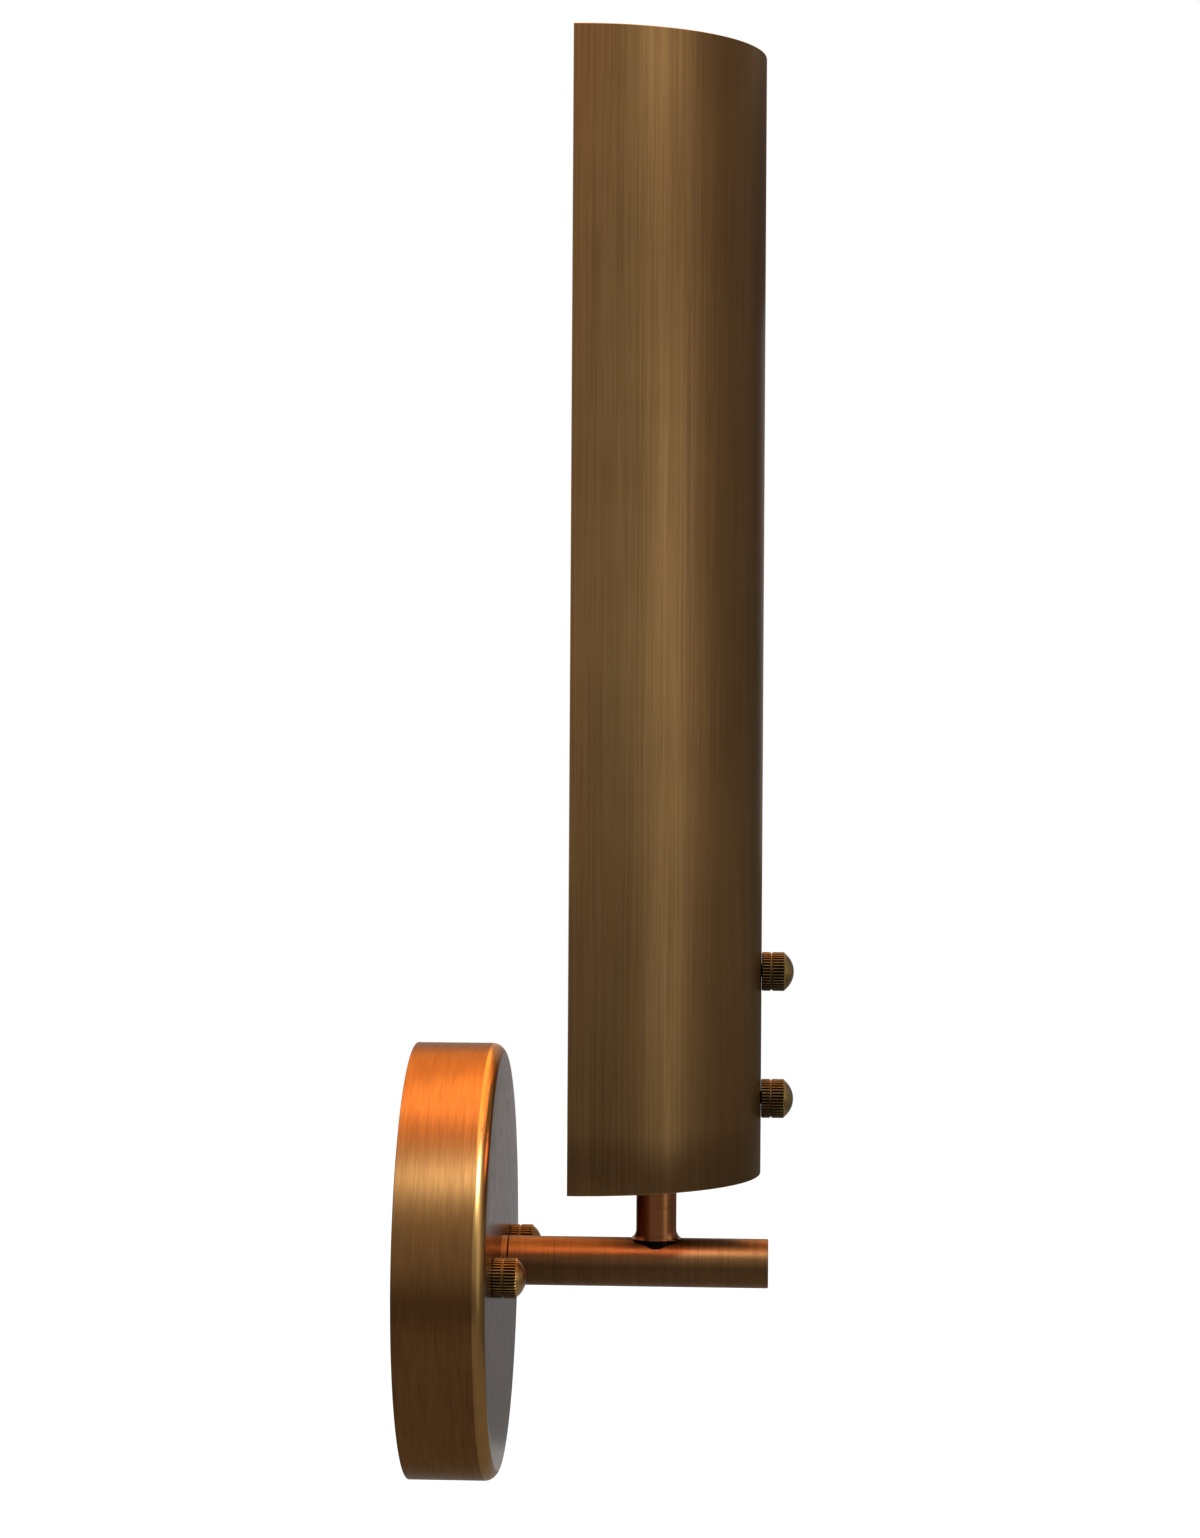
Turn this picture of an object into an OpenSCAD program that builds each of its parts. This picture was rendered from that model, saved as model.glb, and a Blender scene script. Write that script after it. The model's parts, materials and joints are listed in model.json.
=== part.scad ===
// Wall sconce: a half-tube shade on a short arm that stands out from a round canopy.
// The wall is the plane y = 0, the front faces -y and z is up.
// The origin is the centre of the wall box, on the wall, level with the arm.

/* [Canopy] */
// Outside diameter of the canopy
canopy_d = 120.6; // [112:0.1:140]
// How far the canopy's face stands from the wall
canopy_depth = 24.7; // [24:0.1:32]
// Outside radius of the canopy's front edge
canopy_edge_r = 3.6; // [2:0.1:5]
// Thickness of the canopy's sheet
canopy_wall = 1.2; // [0.8:0.1:1.6]

/* [Arm and stem] */
// Outside diameter of the arm
arm_d = 13.6; // [12.6:0.1:16]
// Distance of the arm's end from the wall
arm_reach = 98.8; // [90:0.1:130]
// Length of the collar between the canopy and the arm
collar_len = 1.8; // [1:0.1:5]
// Outside diameter of the stem
stem_d = 11.2; // [10.4:0.1:12]
// Distance of the stem's centre line behind the shade's front
stem_to_shade = 28.9; // [27.5:0.1:32.5]
// Height of the stem's top above the shade's lower rim
stem_rise = 5.8; // [4:0.1:10]
// Height of the flare at the stem's foot
flare_h = 2.4; // [1:0.1:3]
// Width of the flare at the stem's foot
flare_w = 1.4; // [0.6:0.1:2]

/* [Shade] */
// Outside diameter of the half tube
shade_d = 101.6; // [98:0.1:106]
// Height of the half tube
shade_h = 310; // [270:1:400]
// Thickness of the shade's sheet
shade_wall = 1.2; // [0.8:0.1:1.6]
// Height of the shade's lower rim above the arm's centre line
shade_low = 25.2; // [22:0.1:32]
// Distance of the shade's two straight edges from the wall
shade_reach = 45.7; // [44.5:0.1:48]

/* [Knobs and studs] */
// Outside diameter of the knurled knobs
knob_d = 10.8; // [9:0.1:12]
// Length of a knob's wide knurled band at its foot
knob_foot = 2.5; // [1.5:0.1:3.5]
// Length of the plain groove between the two bands
knob_groove = 1.2; // [0.8:0.1:2]
// Length of the outer knurled band
knob_band = 2.8; // [2:0.1:4]
// Height of a knob's dome
knob_dome = 2.4; // [1.5:0.1:3.5]
// Number of ridges round a knob
knurl_count = 36; // [24:1:48]
// Depth of the knurling
knurl_depth = 0.25; // [0.1:0.05:0.4]
// Diameter of the studs and screws that the knobs go on
stud_d = 4; // [3:0.1:5]
// Distance between the two canopy knobs
canopy_knob_spacing = 61; // [56:0.5:70]
// Height of the lower shade knob above the arm's centre line
shade_knob_low = 46; // [42:0.5:50]
// Distance between the two shade knobs
shade_knob_spacing = 35.3; // [30:0.1:40]

/* [Wall bracket] */
// Length of the box bar
box_bar_len = 106; // [104:1:110]
// Length of the stud bar
stud_bar_len = 80; // [76:1:90]
// Width of both bars
bar_w = 17; // [15:0.5:20]
// Thickness of both bars
bar_t = 1.6; // [1.2:0.1:2]
// Distance between the middles of the two slots for the wall box's screws
slot_spacing = 79.4; // [76:0.1:82]
// Width of the slots
slot_w = 4.4; // [4:0.1:5]
// Length of the slots from end to end
slot_len = 14; // [8:0.5:16]

/* [Lamp holder] */
// Outside diameter of the ceramic lamp holder
holder_d = 36; // [34:0.5:38]
// Height of the ceramic lamp holder
holder_h = 50; // [48:1:56]
// Width of the bracket strap that holds the shade
strap_w = 14; // [12:0.5:18]
// Thickness of the bracket strap
strap_t = 2; // [1.5:0.1:2.5]
// Height of the bracket strap above its foot
strap_h = 60; // [56:1:70]

/* [Lamp] */
// Diameter of the lamp's glass
lamp_d = 30; // [28:0.5:32]
// Length of the lamp over all
lamp_len = 185; // [150:1:190]
// Diameter of the lamp's cap
cap_d = 26.2; // [26:0.1:26.4]

/* [Leads] */
// Diameter of an insulated lead
lead_d = 2; // [1.6:0.1:2.2]
// Largest diameter of a wire nut
wire_nut_d = 11; // [9:0.5:13]
// Length of a wire nut
wire_nut_len = 17; // [14:0.5:20]

/* [Hidden] */
$fn = 96;

// Clearances, each on the radius unless it says otherwise
thread_gap = 0.05;
slip_gap = 0.2;
seat_gap = 0.3;
// Extra depth that lets a cut pass right through a face
through = 1;

// Threaded tubes and their nuts
arm_nipple_d = 10;
arm_nipple_bore = 7;
arm_nipple_in_arm = 14;
arm_nipple_behind_nut = 3;
arm_nut_flats = 14;
arm_nut_t = 4;
nipple_washer_d = 18;
nipple_washer_t = 1;
holder_nipple_d = 8;
holder_nipple_bore = 5.6;
holder_nipple_in_stem = 10;
holder_nipple_above_nut = 2;
holder_nut_flats = 12;
holder_nut_t = 3;

// Arm
arm_bore = arm_nipple_d + 2 * thread_gap;
arm_chamfer = 0.35;
seam_chamfer = 0.12;
collar_out = canopy_depth;
arm_start = collar_out + collar_len;
plug_len = 4;

// Stem
stem_bore = 6.4;
stem_top = shade_low + stem_rise;
// Radius of the flare's hollow, from its height and its width
flare_arc = (flare_h * flare_h + flare_w * flare_w) / (2 * flare_w);

// Shade and the strap behind its front
shade_r = shade_d / 2;
shade_in_r = shade_r - shade_wall;
shade_front = shade_reach + shade_r;
stem_reach = shade_front - stem_to_shade;
strap_front = shade_reach + sqrt(shade_in_r * shade_in_r - strap_w * strap_w / 4) - seat_gap;
strap_back = strap_front - strap_t;
strap_tail = 9;
strap_bend_r = 4;
shade_knob_high = shade_knob_low + shade_knob_spacing;
shade_knob_out = shade_front + thread_gap;

// Knobs, studs and screws
groove_sink = 0.1;
knob_r = knob_d / 2;
knob_root_r = knob_r - knurl_depth;
knob_core_r = knob_root_r - groove_sink;
knob_len = knob_foot + knob_groove + knob_band + knob_dome;
knob_bore_len = knob_foot + knob_groove + knob_band;
stud_r = stud_d / 2;
stud_end = 0.4;
stud_short = 0.5;
stud_in_knob = knob_bore_len - stud_short;
stud_nut_flats = 7;
stud_nut_t = 3.2;
screw_head_r = 3.6;
screw_head_h = 2.4;
screw_slot_w = 1;
screw_slot_depth = 1;
canopy_knob_x = canopy_knob_spacing / 2;

// Bars on the wall box
bar_corner_r = 3;
eyelet_r = 4;
eyelet_bore = 5;
eyelet_flange_r = 6;
eyelet_flange_t = 0.8;
eyelet_sink = 1;
ground_screw_x = 17;
ground_thread_r = 2;
ground_head_r = 4;
ground_head_h = 2.4;
ground_slot_w = 0.8;
ground_tip = 0.4;

// Ground lug on the arm's nipple, and the crimped barrel on its tail
lug_r = 8;
lug_t = 0.8;
lug_tail = 14;
lug_tail_w = 5;
barrel_wall = 0.8;
barrel_len = 4;
barrel_stand_off = 0.5;

// What is stacked up behind the canopy's face
face_back = canopy_depth - canopy_wall;
washer_back = face_back - lug_t - nipple_washer_t;
nut_back = washer_back - arm_nut_t;
barrel_out = face_back - lug_t - lead_d / 2 - barrel_stand_off;

// Lamp holder: a cup, a ceramic body with two cavities, and what is in it
cup_t = 0.8;
cup_h = 16;
cup_floor = stem_top + strap_t;
holder_base = cup_floor + cup_t;
cup_r = holder_d / 2 + slip_gap + cup_t;
wiring_r = 14;
wiring_h = 17;
web_t = 4;
web_low = holder_base + wiring_h;
web_high = web_low + web_t;
holder_top = holder_base + holder_h;
holder_round = 2;
shell_t = 0.4;
shell_in_r = cap_d / 2 + seat_gap;
shell_r = shell_in_r + shell_t;
shell_recess = 1.5;
shell_top = holder_top - shell_recess;
terminal_x = 9;
terminal_head_r = 3;
terminal_head_h = 2;
terminal_plate_w = 6.4;
terminal_plate_len = 7;
terminal_plate_t = 1;
rivet_r = 1.6;
rivet_short = 0.3;
rivet_head_r = 2.5;
rivet_clear = 1;
contact_rise = 2.6;
contact_w = 5;
contact_t = 0.5;
contact_half = 3;
tongue_bend = 0.5;
tongue_tip = 2.6;
tongue_pad = 1.6;

// Lamp, from its contact up
lamp_foot = web_high + contact_rise + thread_gap;
lamp_contact_r = 4.6;
lamp_contact_h = 1;
lamp_contact_taper = 0.8;
insulator_h = 2.6;
insulator_lip = 0.6;
cap_shell_low = lamp_foot + lamp_contact_h + insulator_h;
cap_shell_h = 20;
cap_wall = 0.5;
cap_top = cap_shell_low + cap_shell_h;
glass_wall = 0.8;
neck_r = cap_d / 2 - cap_wall - thread_gap;
neck_in_cap = 9;
neck_above_cap = 1;
shoulder_h = 9;
neck_low = cap_top - neck_in_cap;
shoulder_low = cap_top + neck_above_cap;
shoulder_high = shoulder_low + shoulder_h;
lamp_top = lamp_foot + lamp_len;
lamp_r = lamp_d / 2;
glass_stem_r = 3.4;
glass_stem_above_shoulder = 24;
glass_stem_taper = 6;
glass_stem_top = shoulder_high + glass_stem_above_shoulder;
glass_foot_r = neck_r - glass_wall - thread_gap;
glass_foot_low = neck_low + 2;
glass_foot_t = 1;
glass_foot_h = 10;
glass_rod_r = 1.1;
glass_rod_above_filaments = 4;
filament_r = 0.8;
filament_ring = 5.5;
filament_count = 4;
filament_above_stem = 6;
filament_below_dome = 14;
filament_low = glass_stem_top + filament_above_stem;
filament_high = lamp_top - lamp_r - filament_below_dome;
glass_rod_top = filament_high + glass_rod_above_filaments;
wire_r = 0.35;

// Leads and their wire nuts
lead_r = lead_d / 2;
lead_sides = 8;
lead_steps = 3;
lead_apart = 1.3;
lead_in_nut = 8;
wire_nut_out = 12;
wire_nut_x = 24;
wire_nut_top = -22;
ground_nut_top = -26;
nut_tip_step = 0.8;
nut_tip_r = wire_nut_d / 2 - 2;
nut_body_low_r = wire_nut_d / 2 - 1.2;
nut_body_high_r = wire_nut_d / 2 - 0.6;
nut_skirt_h = 4;
nut_skirt_step = 0.4;
nut_mouth_h = 3;
nut_mouth_lip = 0.8;
nut_bore_spare = 0.5;

// Place children whose own z runs out from the wall and whose own y runs up
module from_wall(out = 0, x = 0, z = 0) {
    translate([x, -out, z])
        rotate([90, 0, 0])
            children();
}

// Place children on the upright centre line of the stem, holder and lamp
module on_stem(z = 0) {
    translate([0, -stem_reach, z])
        children();
}

// Extrude a side view, drawn as distance from the wall and height, to both sides of x = 0
module side_view(width) {
    rotate([90, 0, 90])
        translate([0, 0, -width / 2])
            linear_extrude(width)
                mirror([1, 0])
                    children();
}

// A ring or tube standing on z = 0
module tube(r_out, r_in, h) {
    difference() {
        cylinder(r = r_out, h = h);
        translate([0, 0, -through])
            cylinder(r = r_in, h = h + 2 * through);
    }
}

// A tube with a small chamfer on the outer edge of each end
module chamfered_tube(r_out, r_in, h, low, high) {
    rotate_extrude()
        polygon([
            [r_in, 0], [r_out - low, 0], [r_out, low],
            [r_out, h - high], [r_out - high, h], [r_in, h]
        ]);
}

// A rod with a chamfer on both ends
module rod(r, h, chamfer = 0) {
    rotate_extrude()
        polygon([
            [0, 0], [r - chamfer, 0], [r, chamfer],
            [r, h - chamfer], [r - chamfer, h], [0, h]
        ]);
}

// A hexagonal nut, drawn by its width across flats
module hex_nut(flats, bore_r, h) {
    difference() {
        cylinder(r = flats / 2 / cos(30), h = h, $fn = 6);
        translate([0, 0, -through])
            cylinder(r = bore_r, h = h + 2 * through);
    }
}

// Flat outline of a strap with round corners, its length along y
module strap_outline(length, width, corner) {
    square([width - 2 * corner, length], center = true);
    square([width, length - 2 * corner], center = true);
    for (sx = [-1, 1], sy = [-1, 1])
        translate([sx * (width / 2 - corner), sy * (length / 2 - corner)])
            circle(corner);
}

// Flat outline of a slot with round ends, its length along y
module slot_outline(length, width) {
    square([width, length - width], center = true);
    for (s = [-1, 1])
        translate([0, s * (length - width) / 2])
            circle(width / 2);
}

// Wall bracket

module box_bar() color("lightgray")
    from_wall()
        difference() {
            linear_extrude(bar_t)
                difference() {
                    strap_outline(box_bar_len, bar_w, bar_corner_r);
                    for (s = [-1, 1])
                        translate([0, s * slot_spacing / 2])
                            slot_outline(slot_len, slot_w);
                    circle(eyelet_r + thread_gap);
                }
            // the eyelet's tail lies flush in this countersink
            rotate_extrude()
                polygon([
                    [0, -through],
                    [eyelet_r + eyelet_sink + thread_gap + through, -through],
                    [eyelet_r + thread_gap, eyelet_sink],
                    [0, eyelet_sink]
                ]);
        }

module bar_eyelet() color("darkgray")
    from_wall()
        rotate_extrude()
            polygon([
                [eyelet_bore / 2, 0],
                [eyelet_r + eyelet_sink, 0],
                [eyelet_r, eyelet_sink],
                [eyelet_r, 2 * bar_t],
                [eyelet_flange_r, 2 * bar_t],
                [eyelet_flange_r, 2 * bar_t + eyelet_flange_t],
                [eyelet_bore / 2, 2 * bar_t + eyelet_flange_t]
            ]);

module stud_bar() color("lightgray")
    from_wall(bar_t)
        linear_extrude(bar_t)
            difference() {
                rotate(90)
                    strap_outline(stud_bar_len, bar_w, bar_corner_r);
                circle(eyelet_r + thread_gap);
                for (s = [-1, 1])
                    translate([s * canopy_knob_x, 0])
                        circle(stud_r + thread_gap);
                translate([ground_screw_x, 0])
                    circle(ground_thread_r + thread_gap);
            }

module canopy_studs() color("gold")
    for (s = [-1, 1])
        from_wall(bar_t, s * canopy_knob_x)
            rod(stud_r, canopy_depth - bar_t + stud_in_knob, stud_end);

module stud_nuts() color("silver")
    for (s = [-1, 1])
        from_wall(2 * bar_t, s * canopy_knob_x)
            hex_nut(stud_nut_flats, stud_r + thread_gap, stud_nut_t);

module ground_screw() color("green") {
    from_wall(ground_tip, ground_screw_x)
        cylinder(r = ground_thread_r, h = 2 * bar_t - ground_tip);
    from_wall(2 * bar_t, ground_screw_x)
        difference() {
            cylinder(r = ground_head_r / cos(30), h = ground_head_h, $fn = 6);
            translate([-ground_head_r - through, -ground_slot_w / 2,
                       ground_head_h - screw_slot_depth])
                cube([2 * (ground_head_r + through), ground_slot_w, screw_slot_depth + through]);
        }
}

// Canopy

// Half section of a pan with a rounded front edge, drawn as radius and distance from the wall
module pan_section(r, depth, edge) {
    square([r - edge, depth]);
    square([r, depth - edge]);
    translate([r - edge, depth - edge])
        circle(edge);
}

module canopy() color("#8a6337")
    from_wall()
        difference() {
            rotate_extrude()
                difference() {
                    pan_section(canopy_d / 2, canopy_depth, canopy_edge_r);
                    translate([0, -canopy_wall])
                        pan_section(canopy_d / 2 - canopy_wall, canopy_depth,
                                    canopy_edge_r - canopy_wall);
                }
            cylinder(r = arm_nipple_d / 2 + slip_gap, h = canopy_depth + through);
            for (s = [-1, 1])
                translate([s * canopy_knob_x, 0, 0])
                    cylinder(r = stud_r + slip_gap, h = canopy_depth + through);
        }

// What holds the arm to the canopy

module arm_nipple() color("gold")
    from_wall(nut_back - arm_nipple_behind_nut)
        tube(arm_nipple_d / 2, arm_nipple_bore / 2,
             arm_start + arm_nipple_in_arm - nut_back + arm_nipple_behind_nut);

module nipple_nut() color("gold")
    from_wall(nut_back)
        hex_nut(arm_nut_flats, arm_nipple_d / 2 + thread_gap, arm_nut_t);

module nipple_washer() color("silver")
    from_wall(washer_back)
        tube(nipple_washer_d / 2, arm_nipple_d / 2 + slip_gap, nipple_washer_t);

module ground_lug() color("silver") {
    from_wall(face_back - lug_t)
        linear_extrude(lug_t)
            difference() {
                union() {
                    circle(lug_r);
                    translate([-lug_tail_w / 2, -lug_tail])
                        square([lug_tail_w, lug_tail]);
                }
                circle(arm_nipple_d / 2 + slip_gap);
            }
    // the crimped barrel that grips the ground lead
    translate([0, -barrel_out, -lug_tail])
        tube(lead_r + barrel_wall, lead_r + thread_gap, barrel_len);
}

// Arm and stem

module arm_collar() color("#7a4a26")
    from_wall(collar_out)
        chamfered_tube(arm_d / 2, arm_nipple_d / 2 + thread_gap, collar_len, 0, seam_chamfer);

module arm_tube() color("#7a4a26")
    difference() {
        from_wall(arm_start)
            chamfered_tube(arm_d / 2, arm_bore / 2, arm_reach - arm_start, seam_chamfer, arm_chamfer);
        on_stem()
            cylinder(r = stem_bore / 2, h = arm_d);
    }

module arm_end_plug() color("#8a6337")
    from_wall(arm_reach - plug_len)
        cylinder(r = arm_bore / 2 - thread_gap, h = plug_len);

module stem_tube() color("#7a4a26")
    difference() {
        on_stem() {
            cylinder(r = stem_d / 2, h = stem_top);
            // the flare sweeps out to the arm's top and tucks in below it, at the arm's sides
            rotate_extrude()
                difference() {
                    square([stem_d / 2 + flare_w, arm_d / 2 + flare_h]);
                    translate([stem_d / 2 + flare_arc, arm_d / 2 + flare_h])
                        circle(flare_arc);
                    polygon([
                        [stem_d / 2 + flare_w, arm_d / 2],
                        [stem_d / 2, arm_d / 4],
                        [stem_d / 2, -through],
                        [stem_d / 2 + flare_w + through, -through],
                        [stem_d / 2 + flare_w + through, arm_d / 2]
                    ]);
                }
        }
        from_wall()
            cylinder(r = arm_d / 2, h = 2 * stem_reach);
        on_stem()
            cylinder(r = stem_bore / 2, h = stem_top + through);
        on_stem(stem_top - holder_nipple_in_stem)
            cylinder(r = holder_nipple_d / 2 + thread_gap, h = holder_nipple_in_stem + through);
    }

// Bracket that holds the shade

module shade_bracket() color("#6b5230")
    difference() {
        side_view(strap_w) {
            translate([stem_reach - strap_tail, stem_top])
                square([strap_front - strap_bend_r - stem_reach + strap_tail, strap_t]);
            translate([strap_back, stem_top + strap_bend_r])
                square([strap_t, strap_h - strap_bend_r]);
            intersection() {
                translate([strap_front - strap_bend_r, stem_top + strap_bend_r])
                    difference() {
                        circle(strap_bend_r);
                        circle(strap_bend_r - strap_t);
                    }
                translate([strap_front - strap_bend_r, stem_top])
                    square(strap_bend_r);
            }
        }
        on_stem(stem_top - through)
            cylinder(r = holder_nipple_d / 2 + slip_gap, h = strap_t + 2 * through);
        for (z = [shade_knob_low, shade_knob_high])
            from_wall(strap_back - through, 0, z)
                cylinder(r = stud_r + thread_gap, h = strap_t + 2 * through);
    }

module shade_screws() color("gold")
    for (z = [shade_knob_low, shade_knob_high]) {
        from_wall(strap_back, 0, z)
            cylinder(r = stud_r, h = shade_knob_out + stud_in_knob - strap_back);
        from_wall(strap_back - screw_head_h, 0, z)
            difference() {
                cylinder(r = screw_head_r, h = screw_head_h);
                translate([-screw_head_r - through, -screw_slot_w / 2, -through])
                    cube([2 * (screw_head_r + through), screw_slot_w, screw_slot_depth + through]);
            }
    }

// Lamp holder

module holder_nipple() color("gold")
    on_stem(stem_top - holder_nipple_in_stem)
        tube(holder_nipple_d / 2, holder_nipple_bore / 2,
             holder_nipple_in_stem + strap_t + cup_t + holder_nut_t + holder_nipple_above_nut);

module holder_nut() color("gold")
    on_stem(holder_base)
        hex_nut(holder_nut_flats, holder_nipple_d / 2 + thread_gap, holder_nut_t);

module holder_cup() color("#8a6337")
    on_stem(cup_floor)
        rotate_extrude()
            polygon([
                [holder_nipple_d / 2 + slip_gap, 0], [cup_r, 0], [cup_r, cup_h],
                [cup_r - cup_t, cup_h], [cup_r - cup_t, cup_t],
                [holder_nipple_d / 2 + slip_gap, cup_t]
            ]);

module holder_body() color("white")
    on_stem(holder_base)
        difference() {
            rotate_extrude() {
                square([holder_d / 2, holder_h - holder_round]);
                square([holder_d / 2 - holder_round, holder_h]);
                translate([holder_d / 2 - holder_round, holder_h - holder_round])
                    circle(holder_round);
            }
            translate([0, 0, -through])
                cylinder(r = wiring_r, h = wiring_h + through);
            translate([0, 0, wiring_h + web_t])
                cylinder(r = shell_r + thread_gap, h = holder_h);
            cylinder(r = rivet_r + thread_gap, h = holder_h);
            for (s = [-1, 1])
                translate([s * terminal_x, 0, 0])
                    cylinder(r = rivet_r + thread_gap, h = holder_h);
        }

module screw_shell() color("goldenrod")
    on_stem(web_high)
        difference() {
            cylinder(r = shell_r, h = shell_top - web_high);
            translate([0, 0, shell_t])
                cylinder(r = shell_in_r, h = shell_top);
            translate([0, 0, -through])
                cylinder(r = terminal_x - rivet_r - rivet_clear, h = shell_top);
        }

module centre_contact() color("goldenrod") {
    on_stem(web_low - terminal_plate_t)
        cylinder(r = rivet_r, h = web_t + terminal_plate_t);
    on_stem(web_low - terminal_plate_t)
        cylinder(r = rivet_head_r, h = terminal_plate_t);
    // a tongue that springs up against the lamp's contact
    on_stem()
        side_view(contact_w)
            polygon([
                [-contact_half, web_high],
                [contact_half, web_high],
                [contact_half, web_high + contact_t],
                [-tongue_bend, web_high + contact_t + slip_gap],
                [tongue_tip, web_high + contact_rise - contact_t],
                [tongue_tip, web_high + contact_rise],
                [tongue_tip - tongue_pad, web_high + contact_rise],
                [-contact_half, web_high + contact_t]
            ]);
}

module terminals() color("goldenrod")
    for (s = [-1, 1])
        on_stem()
            translate([s * terminal_x, 0, web_low]) {
                translate([0, 0, -terminal_plate_t - terminal_head_h])
                    cylinder(r = terminal_head_r, h = terminal_head_h);
                translate([-terminal_plate_w / 2, -terminal_plate_len / 2, -terminal_plate_t])
                    cube([terminal_plate_w, terminal_plate_len, terminal_plate_t]);
                cylinder(r = rivet_r, h = web_t - rivet_short);
            }

// Leads: tubes swept along routes of hand-chosen points

function unit(v) = v / norm(v);
// Point on a smooth curve between b and c, with a and d as its neighbours
function curve_point(a, b, c, d, t) =
    0.5 * (2 * b + (c - a) * t + (2 * a - 5 * b + 4 * c - d) * t * t
        + (3 * b - a - 3 * c + d) * t * t * t);
function smooth_route(p, steps) = [
    for (i = [0 : len(p) - 2], k = [0 : steps - 1])
        curve_point(p[max(i - 1, 0)], p[i], p[i + 1], p[min(i + 2, len(p) - 1)], k / steps),
    p[len(p) - 1]
];
function route_heading(q, i) = unit(q[min(i + 1, len(q) - 1)] - q[max(i - 1, 0)]);
function ring_points(centre, heading, r, sides) =
    let (u = unit(cross(heading, [1, 0, 0])), v = cross(heading, u))
        [for (k = [0 : sides - 1]) centre + r * (u * cos(360 * k / sides) + v * sin(360 * k / sides))];

module swept_lead(route) {
    q = smooth_route(route, lead_steps);
    n = len(q);
    s = lead_sides;
    points = [for (i = [0 : n - 1]) each ring_points(q[i], route_heading(q, i), lead_r, s)];
    sides = [
        for (i = [0 : n - 2], k = [0 : s - 1])
            let (near = i * s, far = (i + 1) * s, next = (k + 1) % s)
                each [[near + k, far + k, far + next], [near + k, far + next, near + next]]
    ];
    first_end = [for (k = [0 : s - 1]) k];
    last_end = [for (k = [s - 1 : -1 : 0]) (n - 1) * s + k];
    polyhedron(points = points, faces = concat([first_end], sides, [last_end]));
}

// Route of a lamp lead from its terminal down the stem, along the arm and to a wire nut.
// Each point is side, distance from the wall and height, and side is 1 or -1.
function lamp_lead_route(side) = [
    for (p = [
        [terminal_x - terminal_head_r - 0.1, stem_reach, web_low - 2],
        [4.4, stem_reach, web_low - 2.4],
        [2.4, stem_reach, web_low - 4.6],
        [lead_apart, stem_reach, web_low - 8],
        [lead_apart, stem_reach, stem_top],
        [lead_apart, stem_reach, stem_top - holder_nipple_in_stem],
        [lead_apart, stem_reach, 10],
        [lead_apart, stem_reach - 0.4, 5],
        [lead_apart, stem_reach - 3, 1.4],
        [lead_apart, stem_reach - 8, 0],
        [lead_apart, 48, 0],
        [lead_apart, 36, 0],
        [lead_apart, 24, 0],
        [lead_apart, 16, 0],
        [1.8, 12, -0.6],
        [5, 9, -4],
        [11, 8.5, -8],
        [18, 9.6, -11.6],
        [22.6, 11.2, -14.8],
        [wire_nut_x, wire_nut_out, wire_nut_top + 3],
        [wire_nut_x, wire_nut_out, wire_nut_top],
        [wire_nut_x, wire_nut_out, wire_nut_top - lead_in_nut]
    ]) [side * p[0], -p[1], p[2]]
];

ground_route = [
    for (p = [
        [0, barrel_out, 0.5 - lug_tail],
        [0, barrel_out, -lug_tail - 1.5],
        [0, 19, -lug_tail - 4.4],
        [0, 15, -lug_tail - 5.6],
        [0, 12.8, -lug_tail - 7],
        [0, wire_nut_out, ground_nut_top + 2.6],
        [0, wire_nut_out, ground_nut_top],
        [0, wire_nut_out, ground_nut_top - lead_in_nut]
    ]) [p[0], -p[1], p[2]]
];

module lead_hot() color("black") swept_lead(lamp_lead_route(1));
module lead_neutral() color("white") swept_lead(lamp_lead_route(-1));
module lead_ground() color("green") swept_lead(ground_route);

// A ribbed cap that twists over the ends of the leads, its mouth up
module wire_nut()
    difference() {
        rotate_extrude()
            polygon([
                [0, 0], [nut_tip_r, 0], [nut_body_low_r, nut_tip_step],
                [nut_body_high_r, wire_nut_len - nut_skirt_h],
                [wire_nut_d / 2, wire_nut_len - nut_skirt_h + nut_skirt_step],
                [wire_nut_d / 2, wire_nut_len], [0, wire_nut_len]
            ]);
        translate([0, 0, wire_nut_len - lead_in_nut - nut_bore_spare])
            cylinder(r = lead_r + thread_gap, h = lead_in_nut + nut_bore_spare + through);
        translate([0, 0, wire_nut_len - nut_mouth_h])
            cylinder(r1 = lead_r + thread_gap, r2 = wire_nut_d / 2 - nut_mouth_lip,
                     h = nut_mouth_h + thread_gap);
    }

module wire_nuts() color("orange") {
    for (s = [-1, 1])
        translate([s * wire_nut_x, -wire_nut_out, wire_nut_top - wire_nut_len])
            wire_nut();
    translate([0, -wire_nut_out, ground_nut_top - wire_nut_len])
        wire_nut();
}

// Shade

module shade() color("#7a5a34")
    difference() {
        translate([0, -shade_reach, shade_low])
            difference() {
                cylinder(r = shade_r, h = shade_h);
                translate([0, 0, -through])
                    cylinder(r = shade_in_r, h = shade_h + 2 * through);
                translate([-shade_d, 0, -through])
                    cube([2 * shade_d, shade_d, shade_h + 2 * through]);
            }
        for (z = [shade_knob_low, shade_knob_high])
            from_wall(stem_reach, 0, z)
                cylinder(r = stud_r + slip_gap, h = shade_d);
    }

// Knobs

// One knurled band, standing on z = 0
module knurled_band(h)
    linear_extrude(h)
        polygon([
            for (i = [0 : 2 * knurl_count - 1])
                let (r = i % 2 == 0 ? knob_r : knob_root_r, a = 180 * i / knurl_count)
                    [r * cos(a), r * sin(a)]
        ]);

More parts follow.
